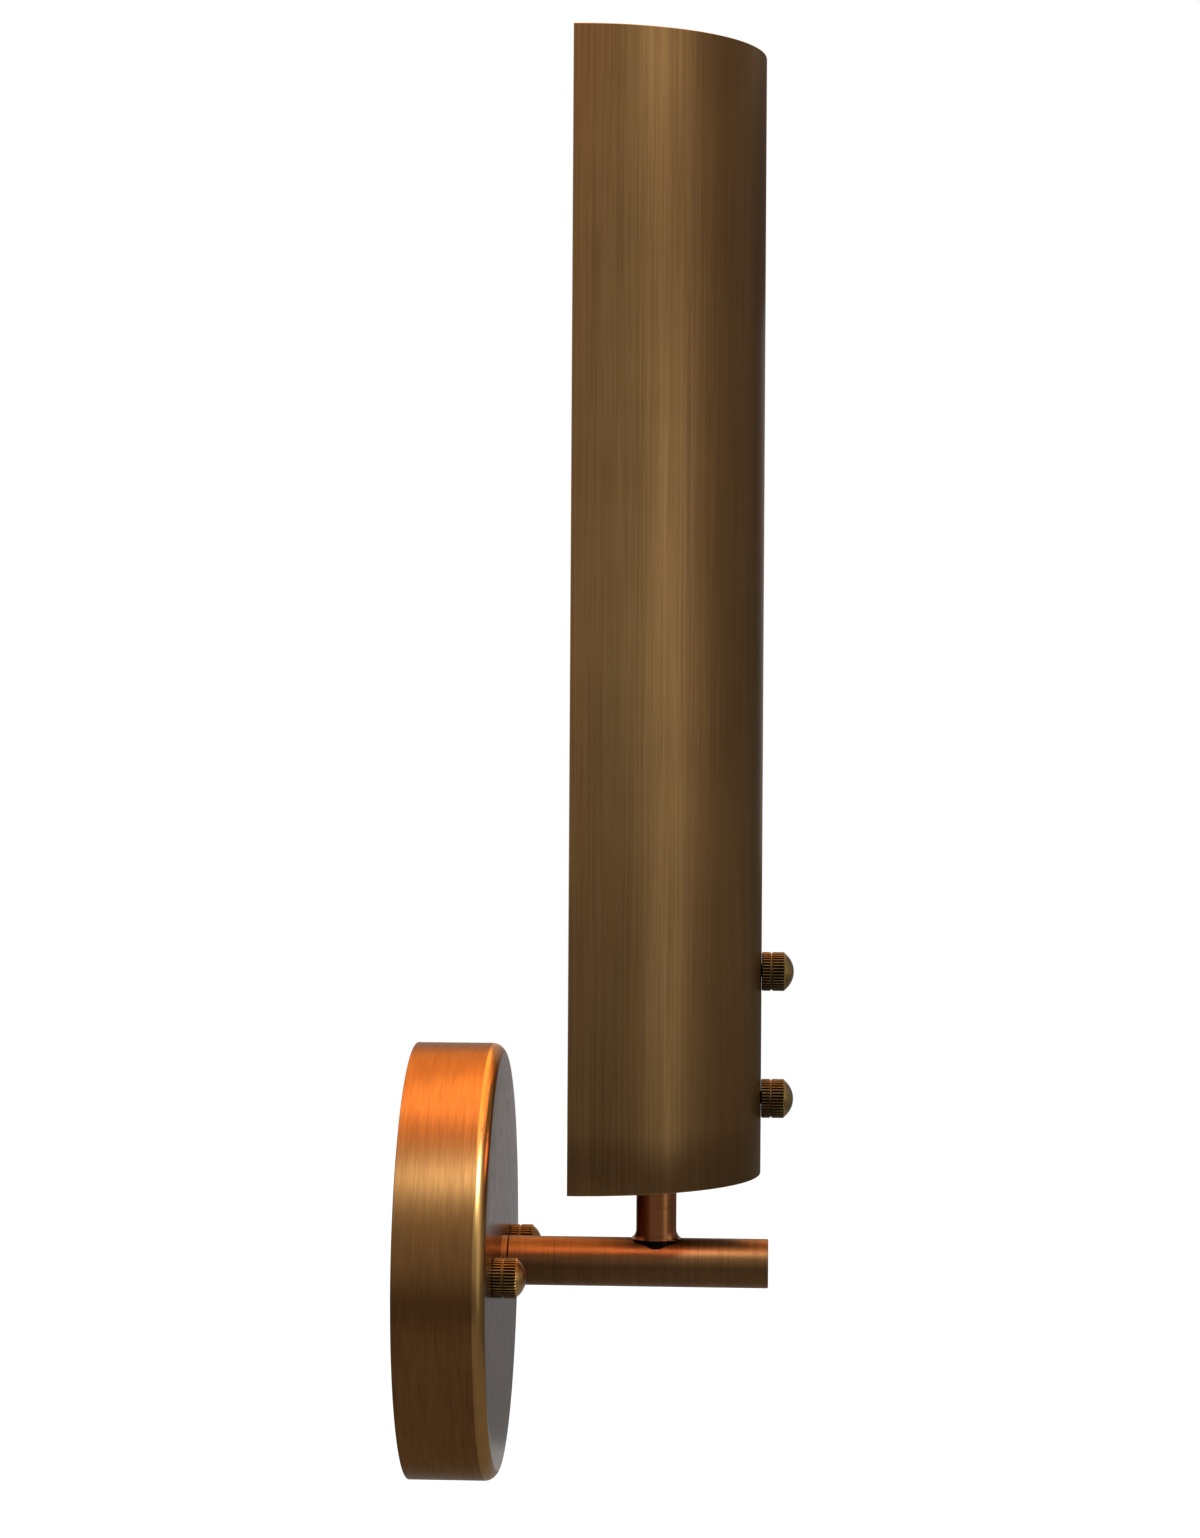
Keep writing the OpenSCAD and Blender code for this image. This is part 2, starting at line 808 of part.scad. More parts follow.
// A knurled cap nut, its foot on z = 0 and its dome up
module knob() {
    dome_r = (knob_core_r * knob_core_r + knob_dome * knob_dome) / (2 * knob_dome);
    difference() {
        union() {
            knurled_band(knob_foot);
            translate([0, 0, knob_foot + knob_groove])
                knurled_band(knob_band);
            rotate_extrude() {
                square([knob_core_r, knob_len - knob_dome]);
                intersection() {
                    translate([0, knob_len - dome_r])
                        circle(dome_r);
                    translate([0, knob_len - knob_dome])
                        square([knob_core_r, knob_dome]);
                }
            }
        }
        translate([0, 0, -through])
            cylinder(r = stud_r + thread_gap, h = knob_bore_len + through);
    }
}

module shade_knob_upper() color("#8a6a3a") from_wall(shade_knob_out, 0, shade_knob_high) knob();
module shade_knob_lower() color("#8a6a3a") from_wall(shade_knob_out, 0, shade_knob_low) knob();
module canopy_knob_left() color("#8a6a3a") from_wall(canopy_depth, -canopy_knob_x) knob();
module canopy_knob_right() color("#8a6a3a") from_wall(canopy_depth, canopy_knob_x) knob();

// Lamp

// Half section of the glass as a closed solid: neck, shoulder, barrel and round top
module glass_section(inset) {
    translate([0, neck_low])
        square([neck_r - inset, shoulder_low - neck_low]);
    polygon([
        [0, shoulder_low], [neck_r - inset, shoulder_low],
        [lamp_r - inset, shoulder_high], [0, shoulder_high]
    ]);
    translate([0, shoulder_high])
        square([lamp_r - inset, lamp_top - lamp_r - shoulder_high]);
    intersection() {
        translate([0, lamp_top - lamp_r])
            circle(lamp_r - inset);
        translate([0, shoulder_high])
            square([lamp_r, lamp_len]);
    }
}

module lamp_glass() color([1, 0.85, 0.6, 0.4])
    on_stem()
        rotate_extrude()
            difference() {
                glass_section(0);
                glass_section(glass_wall);
            }

module lamp_cap() color("gold")
    on_stem(cap_shell_low)
        tube(cap_d / 2, cap_d / 2 - cap_wall, cap_shell_h);

module lamp_insulator() color("black")
    on_stem(cap_shell_low - insulator_h)
        cylinder(r1 = lamp_contact_r + insulator_lip, r2 = cap_d / 2 - insulator_lip / 2,
                 h = insulator_h);

module lamp_contact() color("silver")
    on_stem(lamp_foot)
        cylinder(r1 = lamp_contact_r - lamp_contact_taper, r2 = lamp_contact_r,
                 h = lamp_contact_h);

module lamp_stem() color("lightblue")
    on_stem()
        rotate_extrude()
            polygon([
                [0, glass_foot_low], [glass_foot_r, glass_foot_low],
                [glass_foot_r, glass_foot_low + glass_foot_t],
                [glass_stem_r, glass_foot_low + glass_foot_h],
                [glass_stem_r, glass_stem_top - glass_stem_taper],
                [glass_rod_r, glass_stem_top],
                [glass_rod_r, glass_rod_top], [0, glass_rod_top]
            ]);

// A spoke from the middle out to each filament, at one height
module filament_spokes(z)
    for (i = [0 : filament_count - 1])
        on_stem(z)
            rotate(45 + 360 * i / filament_count)
                rotate([0, 90, 0])
                    translate([0, 0, glass_rod_r])
                        cylinder(r = wire_r, h = filament_ring - glass_rod_r, $fn = 24);

module lamp_wires() color("gray") {
    filament_spokes(filament_low - wire_r);
    filament_spokes(filament_high + wire_r);
}

module lamp_filaments() color("orange")
    for (i = [0 : filament_count - 1])
        on_stem(filament_low)
            rotate(45 + 360 * i / filament_count)
                translate([filament_ring, 0, 0])
                    cylinder(r = filament_r, h = filament_high - filament_low, $fn = 32);

box_bar();
bar_eyelet();
stud_bar();
canopy_studs();
stud_nuts();
ground_screw();
canopy();
arm_nipple();
nipple_nut();
nipple_washer();
ground_lug();
arm_collar();
arm_tube();
arm_end_plug();
stem_tube();
shade_bracket();
shade_screws();
holder_nipple();
holder_nut();
holder_cup();
holder_body();
screw_shell();
centre_contact();
terminals();
lead_hot();
lead_neutral();
lead_ground();
wire_nuts();
shade();
shade_knob_upper();
shade_knob_lower();
canopy_knob_left();
canopy_knob_right();
lamp_glass();
lamp_cap();
lamp_insulator();
lamp_contact();
lamp_stem();
lamp_wires();
lamp_filaments();
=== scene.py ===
import json
import math

import bmesh
import bpy
from mathutils import Matrix, Vector

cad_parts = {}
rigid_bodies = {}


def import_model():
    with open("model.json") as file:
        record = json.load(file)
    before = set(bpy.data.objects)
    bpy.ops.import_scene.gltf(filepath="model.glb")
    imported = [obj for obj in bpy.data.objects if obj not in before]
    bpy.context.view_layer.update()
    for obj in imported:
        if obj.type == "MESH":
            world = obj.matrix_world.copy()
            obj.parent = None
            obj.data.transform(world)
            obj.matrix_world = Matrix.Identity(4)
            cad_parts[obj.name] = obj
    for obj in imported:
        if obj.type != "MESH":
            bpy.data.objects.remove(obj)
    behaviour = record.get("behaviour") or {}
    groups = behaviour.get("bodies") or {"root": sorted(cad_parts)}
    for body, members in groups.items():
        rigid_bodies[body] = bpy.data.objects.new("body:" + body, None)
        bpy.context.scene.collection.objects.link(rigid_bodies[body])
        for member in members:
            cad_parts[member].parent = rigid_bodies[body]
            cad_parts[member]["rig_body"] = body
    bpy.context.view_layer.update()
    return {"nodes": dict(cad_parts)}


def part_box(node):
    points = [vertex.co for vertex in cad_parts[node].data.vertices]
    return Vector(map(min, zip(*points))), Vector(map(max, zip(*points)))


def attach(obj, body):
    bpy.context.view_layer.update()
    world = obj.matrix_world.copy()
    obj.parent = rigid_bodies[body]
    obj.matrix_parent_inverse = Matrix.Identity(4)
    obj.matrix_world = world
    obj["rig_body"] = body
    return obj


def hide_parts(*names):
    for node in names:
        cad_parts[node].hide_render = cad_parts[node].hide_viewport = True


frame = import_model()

# Shapes are drawn in millimetres and scaled when they are finished
MM = 0.001

# Turns a shape drawn along z so that its z runs out from the wall and its y runs up
OUT_FROM_WALL = Matrix.Rotation(math.radians(90), 4, "X")

boxes = {node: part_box(node) for node in frame["nodes"]}


def low(node):
    """The low corner of a CAD node's box, in millimetres."""
    return boxes[node][0] / MM


def high(node):
    return boxes[node][1] / MM


def middle(node):
    return (low(node) + high(node)) / 2


def size(node):
    return high(node) - low(node)


# Sizes that several pieces share
stud_radius = high("canopy_studs").z
canopy_knob_x = middle("canopy_knob_right").x
shade_knob_heights = [middle(node).z for node in ("shade_knob_lower", "shade_knob_upper")]
stem_y = middle("stem_tube").y
arm_r = high("arm_tube").x
HOLE_GAP = 0.2
stud_hole_r = stud_radius + HOLE_GAP
HOLDER_WIRING_H = 17


def new_object(name, data):
    """An object of the data, in the scene."""
    made = bpy.data.objects.new(name, data)
    bpy.context.scene.collection.objects.link(made)
    return made


def hide_from(made, *rays):
    for ray in rays:
        setattr(made, f"visible_{ray}", False)


# Camera

# Fitted to the photograph from the object's own sizes, in metres and radians
CAMERA_PLACE = Vector((-0.94665, -0.10126, 0.15306))
CAMERA_YAW = 0.053
CAMERA_ROLL = 0.006
CAMERA_LENS_MM = 79.56
SENSOR_WIDTH_MM = 36
CAMERA_RISE = -0.0368


def make_camera():
    forward = Vector((math.cos(CAMERA_YAW), math.sin(CAMERA_YAW), 0))
    level_right = Vector((math.sin(CAMERA_YAW), -math.cos(CAMERA_YAW), 0))
    right = level_right * math.cos(CAMERA_ROLL) + Vector((0, 0, 1)) * math.sin(CAMERA_ROLL)
    up = right.cross(forward)
    turn = Matrix((right, up, -forward)).transposed().to_4x4()
    data = bpy.data.cameras.new("camera")
    data.lens = CAMERA_LENS_MM
    data.sensor_width = SENSOR_WIDTH_MM
    data.shift_y = CAMERA_RISE
    data.clip_start = 0.01
    camera = new_object("camera", data)
    camera.matrix_world = Matrix.Translation(CAMERA_PLACE) @ turn
    bpy.context.scene.camera = camera


make_camera()

# Material helpers


def add(tree, kind, inputs=None, **settings):
    """A new shader node with its settings, and its inputs set to values or linked to sockets."""
    made = tree.nodes.new(f"ShaderNode{kind}")
    for key, value in settings.items():
        setattr(made, key, value)
    for key, value in (inputs or {}).items():
        if isinstance(value, bpy.types.NodeSocket):
            tree.links.new(value, made.inputs[key])
        else:
            made.inputs[key].default_value = value
    return made


def begin_material(name, constants):
    """A material whose shader has these constants on its own sockets."""
    material = bpy.data.materials.new(name)
    material.use_nodes = True
    shader = material.node_tree.nodes["Principled BSDF"]
    for socket, value in constants.items():
        shader.inputs[socket].default_value = value
    return material, material.node_tree, shader


def object_place(tree):
    return add(tree, "TexCoord").outputs["Object"]


def stretched(place, scale):
    return add(place.id_data, "Mapping", {"Vector": place, "Scale": scale}).outputs["Vector"]


def noise(place, scale, detail=2.0, roughness=0.5):
    inputs = {"Vector": place, "Scale": scale, "Detail": detail, "Roughness": roughness}
    return add(place.id_data, "TexNoise", inputs).outputs["Fac"]


def remap(value, from_low, from_high, to_low=0.0, to_high=1.0):
    inputs = {
        "Value": value,
        "From Min": from_low,
        "From Max": from_high,
        "To Min": to_low,
        "To Max": to_high,
    }
    return add(value.id_data, "MapRange", inputs).outputs["Result"]


def arithmetic(operation, a, b):
    return add(a.id_data, "Math", {0: a, 1: b}, operation=operation).outputs[0]


def mixed(amount, colour_a, colour_b):
    """Colour a where amount is 0 and colour b where it is 1."""
    inputs = {0: amount, 6: colour_a, 7: colour_b}
    return add(amount.id_data, "Mix", inputs, data_type="RGBA").outputs[2]


def feed(shader, socket, value):
    shader.id_data.links.new(value, shader.inputs[socket])


def bumped(shader, height, depth, strength=1.0):
    """Raises the surface by height times depth, in metres."""
    inputs = {"Height": height, "Distance": depth, "Strength": strength}
    feed(shader, "Normal", add(shader.id_data, "Bump", inputs).outputs["Normal"])


def rgb(red, green, blue):
    """A linear colour from the 0 to 255 values that a screen shows."""
    def linear(value):
        value /= 255
        return value / 12.92 if value <= 0.04045 else ((value + 0.055) / 1.055) ** 2.4
    return (linear(red), linear(green), linear(blue), 1)


# Materials

# A quarter of a turn, as the shader counts them
ACROSS_GROOVES = 0.25

# Coarse streaks are this many times as dense as the fine grain
COARSE_SHARE = 0.32

# How many patina clouds fit in a metre
PATINA_CLOUDS = 26.0

# How bright the fine grain's bright side is against the brass, and its grooves' depth in metres
GRAIN_GAIN = 1.4
GROOVE_DEPTH = 0.000006
EDGE_TINT = (0.68, 0.6, 0.52, 1)
WARM_EDGE_TINT = (1, 0.9, 0.8, 1)


def turned_place(place, across, along):
    """Coordinates for turned grooves round the y axis. They change fast along it and away from it."""
    parts = add(place.id_data, "SeparateXYZ", {0: place}).outputs
    x_squared = arithmetic("MULTIPLY", parts["X"], parts["X"])
    z_squared = arithmetic("MULTIPLY", parts["Z"], parts["Z"])
    radius = arithmetic("SQRT", arithmetic("ADD", x_squared, z_squared), 0)
    depth = arithmetic("SUBTRACT", parts["Y"], radius)
    inputs = {
        "X": arithmetic("MULTIPLY", depth, across),
        "Y": arithmetic("MULTIPLY", parts["X"], along),
        "Z": arithmetic("MULTIPLY", parts["Z"], along),
    }
    return add(place.id_data, "CombineXYZ", inputs).outputs[0]


def brushed_brass(
        name, tone, dark, grain, roughness, turned="", stretch=0.0, edge_tint=EDGE_TINT):
    """Antique brass with brushed grooves. grain is how many of them fit in a metre along x, y and z.
    Where it is turned about an axis, grain is that number across the grooves and along them.
    stretch is how far the grooves draw out a highlight across them."""
    constants = {"Metallic": 1.0, "Anisotropic": stretch, "Specular Tint": edge_tint}
    material, tree, shader = begin_material(name, constants)
    place = object_place(tree)
    if stretch:
        shader.inputs["Anisotropic Rotation"].default_value = ACROSS_GROOVES if turned else 0
        round_axis = add(tree, "Tangent", direction_type="RADIAL", axis=turned or "Z")
        feed(shader, "Tangent", round_axis.outputs["Tangent"])
    if turned:
        fine_place = turned_place(place, *grain)
        coarse_place = turned_place(place, grain[0] * COARSE_SHARE, grain[1])
    else:
        fine_place = stretched(place, grain)
        coarse_place = stretched(place, [each * COARSE_SHARE for each in grain])
    fine = noise(fine_place, 1.0, 3.0, 0.6)
    coarse = noise(coarse_place, 1.0)
    clouds = noise(place, PATINA_CLOUDS, 3.0, 0.55)
    patina = remap(clouds, 0.35, 0.7, 0.1, 0.5)
    worn = mixed(patina, tone, dark)
    streak = remap(coarse, 0.42, 0.66, 0.0, 0.2)
    streaked = mixed(streak, worn, dark)
    grain_shade = remap(fine, 0.38, 0.66, 0.0, 0.42)
    lightened = tuple(min(1, part * GRAIN_GAIN) for part in tone[:3]) + (1,)
    feed(shader, "Base Color", mixed(grain_shade, streaked, lightened))
    feed(shader, "Roughness", remap(coarse, 0.3, 0.7, roughness - 0.02, roughness + 0.03))
    bumped(shader, fine, GROOVE_DEPTH)
    return material


# Dark colours painted into the knurls' roots and the stem's foot joint, for dark patina and painted
# shade
KNURL_DIRT_AND_SHADE = rgb(18, 12, 8)
JOINT_DIRT_AND_SHADE = rgb(16, 10, 8)


def recess_marks(tree):
    return add(tree, "Attribute", attribute_name="recess").outputs["Fac"]


def knurled_brass(name, tone, dark):
    """Antique brass painted dark in the grooves and over the knurled bands, which the recess attribute
    marks: dark patina and painted shade, with the ridges' tops dimmed as painted shade.
    """
    material, tree, shader = begin_material(name, {"Metallic": 1.0})
    place = object_place(tree)
    clouds = remap(noise(place, 320.0, 3.0), 0.35, 0.7, 0.0, 0.7)
    worn = mixed(clouds, tone, dark)
    recess = remap(recess_marks(tree), 0.05, 0.75)
    feed(shader, "Base Color", mixed(recess, worn, KNURL_DIRT_AND_SHADE))
    feed(shader, "Roughness", remap(recess, 0.0, 1.0, 0.3, 0.6))
    bumped(shader, noise(place, 2600.0), 0.000004)
    return material


def stem_brass():
    """The arm's brass, painted dark where the recess attribute marks the joint at the stem's foot: dark
    patina and painted shade in the gap there.
    """
    material = brushed_brass(
        "stem_brass", rgb(130, 82, 48), rgb(92, 54, 32), (70, 70, 2600), 0.3, edge_tint=WARM_EDGE_TINT)
    tree = material.node_tree
    shader = tree.nodes["Principled BSDF"]
    plain = shader.inputs["Base Color"].links[0].from_socket
    feed(shader, "Base Color", mixed(recess_marks(tree), plain, JOINT_DIRT_AND_SHADE))
    return material


# The specks in a mottled finish are this many times as dense as its clouds
SPECK_SHARE = 9


def mottled(name, light, dark, scale, rough_low, rough_high, metallic=0.0, relief=0.00001):
    """A plain finish with soft variation in its colour, its gloss and its surface."""
    material, tree, shader = begin_material(name, {"Metallic": metallic})
    place = object_place(tree)
    clouds = noise(place, scale, 3.0)
    specks = noise(place, scale * SPECK_SHARE)
    feed(shader, "Base Color", mixed(remap(clouds, 0.35, 0.7), light, dark))
    feed(shader, "Roughness", remap(specks, 0.3, 0.7, rough_low, rough_high))
    bumped(shader, specks, relief)
    return material


def clear_glass(name, light, dark):
    """Clear glass with a faint tint that changes over its height."""
    constants = {"Transmission Weight": 1.0, "IOR": 1.46, "Roughness": 0.02}
    material, tree, shader = begin_material(name, constants)
    place = object_place(tree)
    clouds = remap(noise(place, 18.0), 0.35, 0.65)
    feed(shader, "Base Color", mixed(clouds, light, dark))
    bumped(shader, noise(place, 60.0, 1.0), 0.00002, 0.3)
    return material


def glowing_filament():
    """The lit coating on the filaments."""
    constants = {"Roughness": 0.6, "Emission Strength": 5.0, "Emission Color": (1.0, 0.42, 0.1, 1.0)}
    material, tree, shader = begin_material("lit_filament", constants)
    grains = remap(noise(object_place(tree), 900.0), 0.3, 0.7)
    feed(shader, "Base Color", mixed(grains, rgb(250, 196, 90), rgb(236, 150, 50)))
    return material


WARM_BRASS = rgb(106, 72, 40)
WARM_BRASS_DARK = rgb(80, 50, 26)

canopy_brass = brushed_brass(
    "canopy_brass", WARM_BRASS, WARM_BRASS_DARK, (2400, 80), 0.5, turned="Y", stretch=0.87)
# The canopy's rounded edge is lighter, smoother brass: worn polish, and partly a painted highlight
canopy_edge_brass = brushed_brass(
    "canopy_edge_brass", rgb(132, 98, 56), rgb(104, 74, 42), (2400, 30), 0.28, turned="Y")
arm_brass = brushed_brass(
    "arm_brass", rgb(100, 71, 43), rgb(70, 48, 30), (2600, 60), 0.56, turned="Y", stretch=0.8,
    edge_tint=WARM_EDGE_TINT)
shade_brass = brushed_brass(
    "shade_brass", rgb(104, 76, 46), rgb(78, 53, 31), (1500, 1500, 16), 0.34, stretch=0.3,
    edge_tint=(0.72, 0.66, 0.6, 1))
# The shade's edges are lighter brass: worn polish, and partly a painted highlight
edge_brass = brushed_brass("edge_brass", rgb(136, 106, 66), rgb(104, 76, 44), (900, 900, 900), 0.3)
# The knobs' bright tone shows on their domes, as worn polish and a painted highlight. The canopy's
# knobs are lighter than the shade's, as painted light from the lamp, and the shade's knobs darker, as
# painted shade
canopy_knob_brass = knurled_brass("canopy_knob_brass", rgb(158, 122, 68), rgb(112, 84, 48))
shade_knob_brass = knurled_brass("shade_knob_brass", rgb(146, 116, 68), rgb(98, 77, 46))
foot_brass = stem_brass()
canopy_face_brass = mottled(
    "canopy_face_brass", WARM_BRASS, WARM_BRASS_DARK, 30, 0.22, 0.26, 1.0, 0.0000005)
# A painted shadow for the dark contact line at the arm's seam
seam_shadow_brass = mottled("seam_shadow_brass", rgb(30, 18, 12), rgb(20, 12, 8), 400, 0.5, 0.7, 1.0)
thread_brass = mottled(
    "thread_brass", rgb(214, 176, 96), rgb(176, 134, 66), 260, 0.2, 0.34, 1.0, 0.000004)
strap_brass = mottled("strap_brass", rgb(112, 84, 52), rgb(80, 56, 34), 120, 0.36, 0.5, 1.0)
zinc = mottled("zinc", rgb(190, 193, 196), rgb(158, 162, 168), 140, 0.28, 0.46, 1.0)
green_plating = mottled("green_plating", rgb(44, 128, 66), rgb(26, 92, 46), 240, 0.25, 0.4, 0.85)
ceramic = mottled("ceramic", rgb(238, 235, 226), rgb(226, 221, 208), 60, 0.1, 0.22, 0.0, 0.00002)
cap_metal = mottled("cap_metal", rgb(206, 172, 104), rgb(172, 136, 76), 200, 0.22, 0.36, 1.0)
lead_solder = mottled("solder", rgb(176, 176, 172), rgb(138, 138, 136), 500, 0.3, 0.5, 1.0)
nickel = mottled("nickel_wire", rgb(150, 150, 148), rgb(112, 112, 110), 700, 0.25, 0.4, 1.0)
black_insulator = mottled("black_insulator", rgb(20, 20, 22), rgb(32, 30, 30), 200, 0.08, 0.2)
black_lead = mottled("black_lead", rgb(22, 22, 23), rgb(36, 35, 35), 300, 0.35, 0.5)
white_lead = mottled("white_lead", rgb(226, 224, 214), rgb(206, 203, 190), 300, 0.35, 0.5)
green_lead = mottled("green_lead", rgb(30, 118, 56), rgb(20, 92, 42), 300, 0.35, 0.5)
orange_plastic = mottled("orange_plastic", rgb(222, 112, 32), rgb(200, 92, 22), 180, 0.35, 0.5)
bulb_glass = clear_glass("bulb_glass", (1.0, 0.95, 0.86, 1), (1.0, 0.9, 0.76, 1))
stem_glass = clear_glass("stem_glass", (0.96, 0.98, 0.98, 1), (0.9, 0.94, 0.95, 1))
filament_glow = glowing_filament()

# Shape helpers. They work in millimetres, on a bmesh drawn about the z axis

ROUND_STEPS = 96
TINY = 0.0005


def faced_out(bm):
    bmesh.ops.recalc_face_normals(bm, faces=bm.faces)
    return bm


def clean(bm):
    bmesh.ops.remove_doubles(bm, verts=bm.verts, dist=TINY)
    return faced_out(bm)


def cut_level(bm, height, side=1, dist=TINY, **settings):
    """Cuts the faces at a height. side is 1 where the outside is above it, and -1 below."""
    bmesh.ops.bisect_plane(
        bm, geom=bm.verts[:] + bm.edges[:] + bm.faces[:], dist=dist, plane_co=(0, 0, height),
        plane_no=(0, 0, side), **settings)


def as_mesh(name, bm, scale=1):
    bmesh.ops.scale(bm, vec=[scale] * 3, verts=bm.verts)
    mesh = bpy.data.meshes.new(name)
    bm.to_mesh(mesh)
    bm.free()
    return mesh


def from_mesh(mesh):
    """A mesh in metres as a bmesh in millimetres."""
    bm = bmesh.new()
    bm.from_mesh(mesh)
    bmesh.ops.scale(bm, vec=[1 / MM] * 3, verts=bm.verts)
    return bm


def spin(bm, line, angle, steps, **settings):
    """Turns a line about the z axis."""
    bmesh.ops.spin(
        bm, geom=line, cent=(0, 0, 0), axis=(0, 0, 1), angle=angle, steps=steps, **settings)
    return bm


def drawn_line(bm, points, closed):
    """Vertices and edges through points given as radius and height."""
    verts = [bm.verts.new((radius, 0, height)) for radius, height in points]
    pairs = list(zip(verts, verts[1:]))
    if closed:
        pairs.append((verts[-1], verts[0]))
    return verts + [bm.edges.new(pair) for pair in pairs]


def lathe(points, closed=True, steps=ROUND_STEPS):
    """A full turn of an outline. An outline that starts and ends on the axis isn't closed."""
    bm = bmesh.new()
    return clean(spin(bm, drawn_line(bm, points, closed), math.tau, steps, use_merge=True))


def disc(radius, height, steps):
    """A plain round solid that stands on z = 0."""
    return lathe([(0, 0), (radius, 0), (radius, height), (0, height)], False, steps)


def turn_step(place, steps):
    """Which of the steps round the axis a place is on."""
    return round(math.atan2(place.y, place.x) / math.tau * steps)


def arc(centre_r, centre_h, radius, start, end, steps=6):
    """Points on an arc, from one angle to another in degrees."""
    angles = [math.radians(start + (end - start) * i / steps) for i in range(steps + 1)]
    return [(centre_r + radius * math.cos(a), centre_h + radius * math.sin(a)) for a in angles]


def soften(bm, width, segments=2):
    """Rounds every edge that turns by more than 30 degrees."""
    sharp = [
        edge for edge in bm.edges
        if len(edge.link_faces) == 2 and edge.calc_face_angle() > math.radians(30)
    ]
    bmesh.ops.bevel(
        bm, geom=sharp, offset=width, offset_type="OFFSET", affect="EDGES", segments=segments,
        profile=0.5, material=-1, clamp_overlap=True)
    return bm


def moved(bm, matrix):
    bmesh.ops.transform(bm, matrix=matrix, verts=bm.verts)
    return bm


def out_from_wall(bm, distance=0, x=0, z=0):
    """Turns a shape to stand out from the wall, and places it by distance, x and z."""
    return moved(bm, Matrix.Translation((x, -distance, z)) @ OUT_FROM_WALL)


def above(bm, x=0, y=0, z=0):
    return moved(bm, Matrix.Translation((x, y, z)))


def joined(parts):
    """One bmesh that holds all the parts."""
    whole = bmesh.new()
    for part in parts:
        mesh = as_mesh("part", part)
        whole.from_mesh(mesh)
        bpy.data.meshes.remove(mesh)
    return whole


def copied(node, width, segments=2):
    """A CAD node's shape with its sharp edges rounded."""
    bm = from_mesh(frame["nodes"][node].data)
    bmesh.ops.remove_doubles(bm, verts=bm.verts, dist=0.002)
    bmesh.ops.dissolve_limit(
        bm, angle_limit=math.radians(0.6), use_dissolve_boundaries=False, verts=bm.verts,
        edges=bm.edges)
    return soften(bm, width, segments)


def rim_edges(bm, height=None):
    """The open edges, or those of them that lie at one height."""
    return [
        edge for edge in bm.edges
        if edge.is_boundary
        and (height is None or all(abs(v.co.z - height) < 0.01 for v in edge.verts))
    ]


def thread_skin(profile, pitch, length, steps):
    """The skin of a thread from z = 0 to its length. The profile is a pitch high and ends at z = 0."""
    bm = bmesh.new()
    spin(bm, drawn_line(bm, profile, False), math.tau, steps, dvec=(0, 0, pitch / steps))
    one_turn = bm.verts[:] + bm.edges[:] + bm.faces[:]
    for turn in range(1, math.ceil(length / pitch) + 2):
        copy = bmesh.ops.duplicate(bm, geom=one_turn)["geom"]
        verts = [part for part in copy if isinstance(part, bmesh.types.BMVert)]
        bmesh.ops.translate(bm, vec=(0, 0, turn * pitch), verts=verts)
    bmesh.ops.remove_doubles(bm, verts=bm.verts, dist=0.005)
    cut_level(bm, 0, -1, 0.001, clear_outer=True)
    cut_level(bm, length, 1, 0.001, clear_outer=True)
    return bm


def capped(bm):
    bmesh.ops.holes_fill(bm, edges=rim_edges(bm), sides=0)
    return faced_out(bm)


def bored(bm, radius, length, steps):
    """Gives a skin a straight bore and joins the two at the ends."""
    bmesh.ops.create_cone(
        bm, cap_ends=False, segments=steps, radius1=radius, radius2=radius, depth=length,
        matrix=Matrix.Translation((0, 0, length / 2)))
    for height in (0, length):
        bmesh.ops.bridge_loops(bm, edges=rim_edges(bm, height))
    return faced_out(bm)


# A fastening thread's outline, as shares of its depth and its pitch
THREAD_OUTLINE = ((0, -1), (0.15, -0.88), (1, -0.56), (1, -0.44), (0.15, -0.12), (0, 0))

# Its ends are bevelled over its depth and this length, from this share of its depth below its root
THREAD_TIP = 0.4
TIP_SINK = 0.2


def threaded(radius, length, pitch, depth, bore=0, steps=28):
    """A threaded rod from z = 0 to its length, with a bore where one is given."""
    root = radius - depth
    profile = [(root + depth * rise, pitch * along) for rise, along in THREAD_OUTLINE]
    bm = thread_skin(profile, pitch, length, steps)
    for vert in bm.verts:
        from_end = min(vert.co.z, length - vert.co.z)
        reach = vert.co.xy.length
        allowed = root - depth * TIP_SINK + from_end
        if from_end < THREAD_TIP + depth and reach > allowed:
            vert.co.xy *= allowed / reach
    return bored(bm, bore, length, 48) if bore else capped(bm)


def evaluated_mesh(made):
    bpy.context.view_layer.update()
    evaluated = made.evaluated_get(bpy.context.evaluated_depsgraph_get())
    return bpy.data.meshes.new_from_object(evaluated)


def carved(mesh, cutters):
    """The mesh with the cutters' shapes taken out of it."""
    target = new_object("target", mesh)
    tools = []
    for number, cutter in enumerate(cutters):
        tool = new_object("tool", as_mesh("tool", cutter, MM))
        cut = target.modifiers.new(f"cut_{number}", "BOOLEAN")
        cut.operation = "DIFFERENCE"
        cut.solver = "EXACT"
        cut.object = tool
        tools.append(tool)
    result = evaluated_mesh(target)
    for spare in [target] + tools:
        bpy.data.objects.remove(spare)
    return result


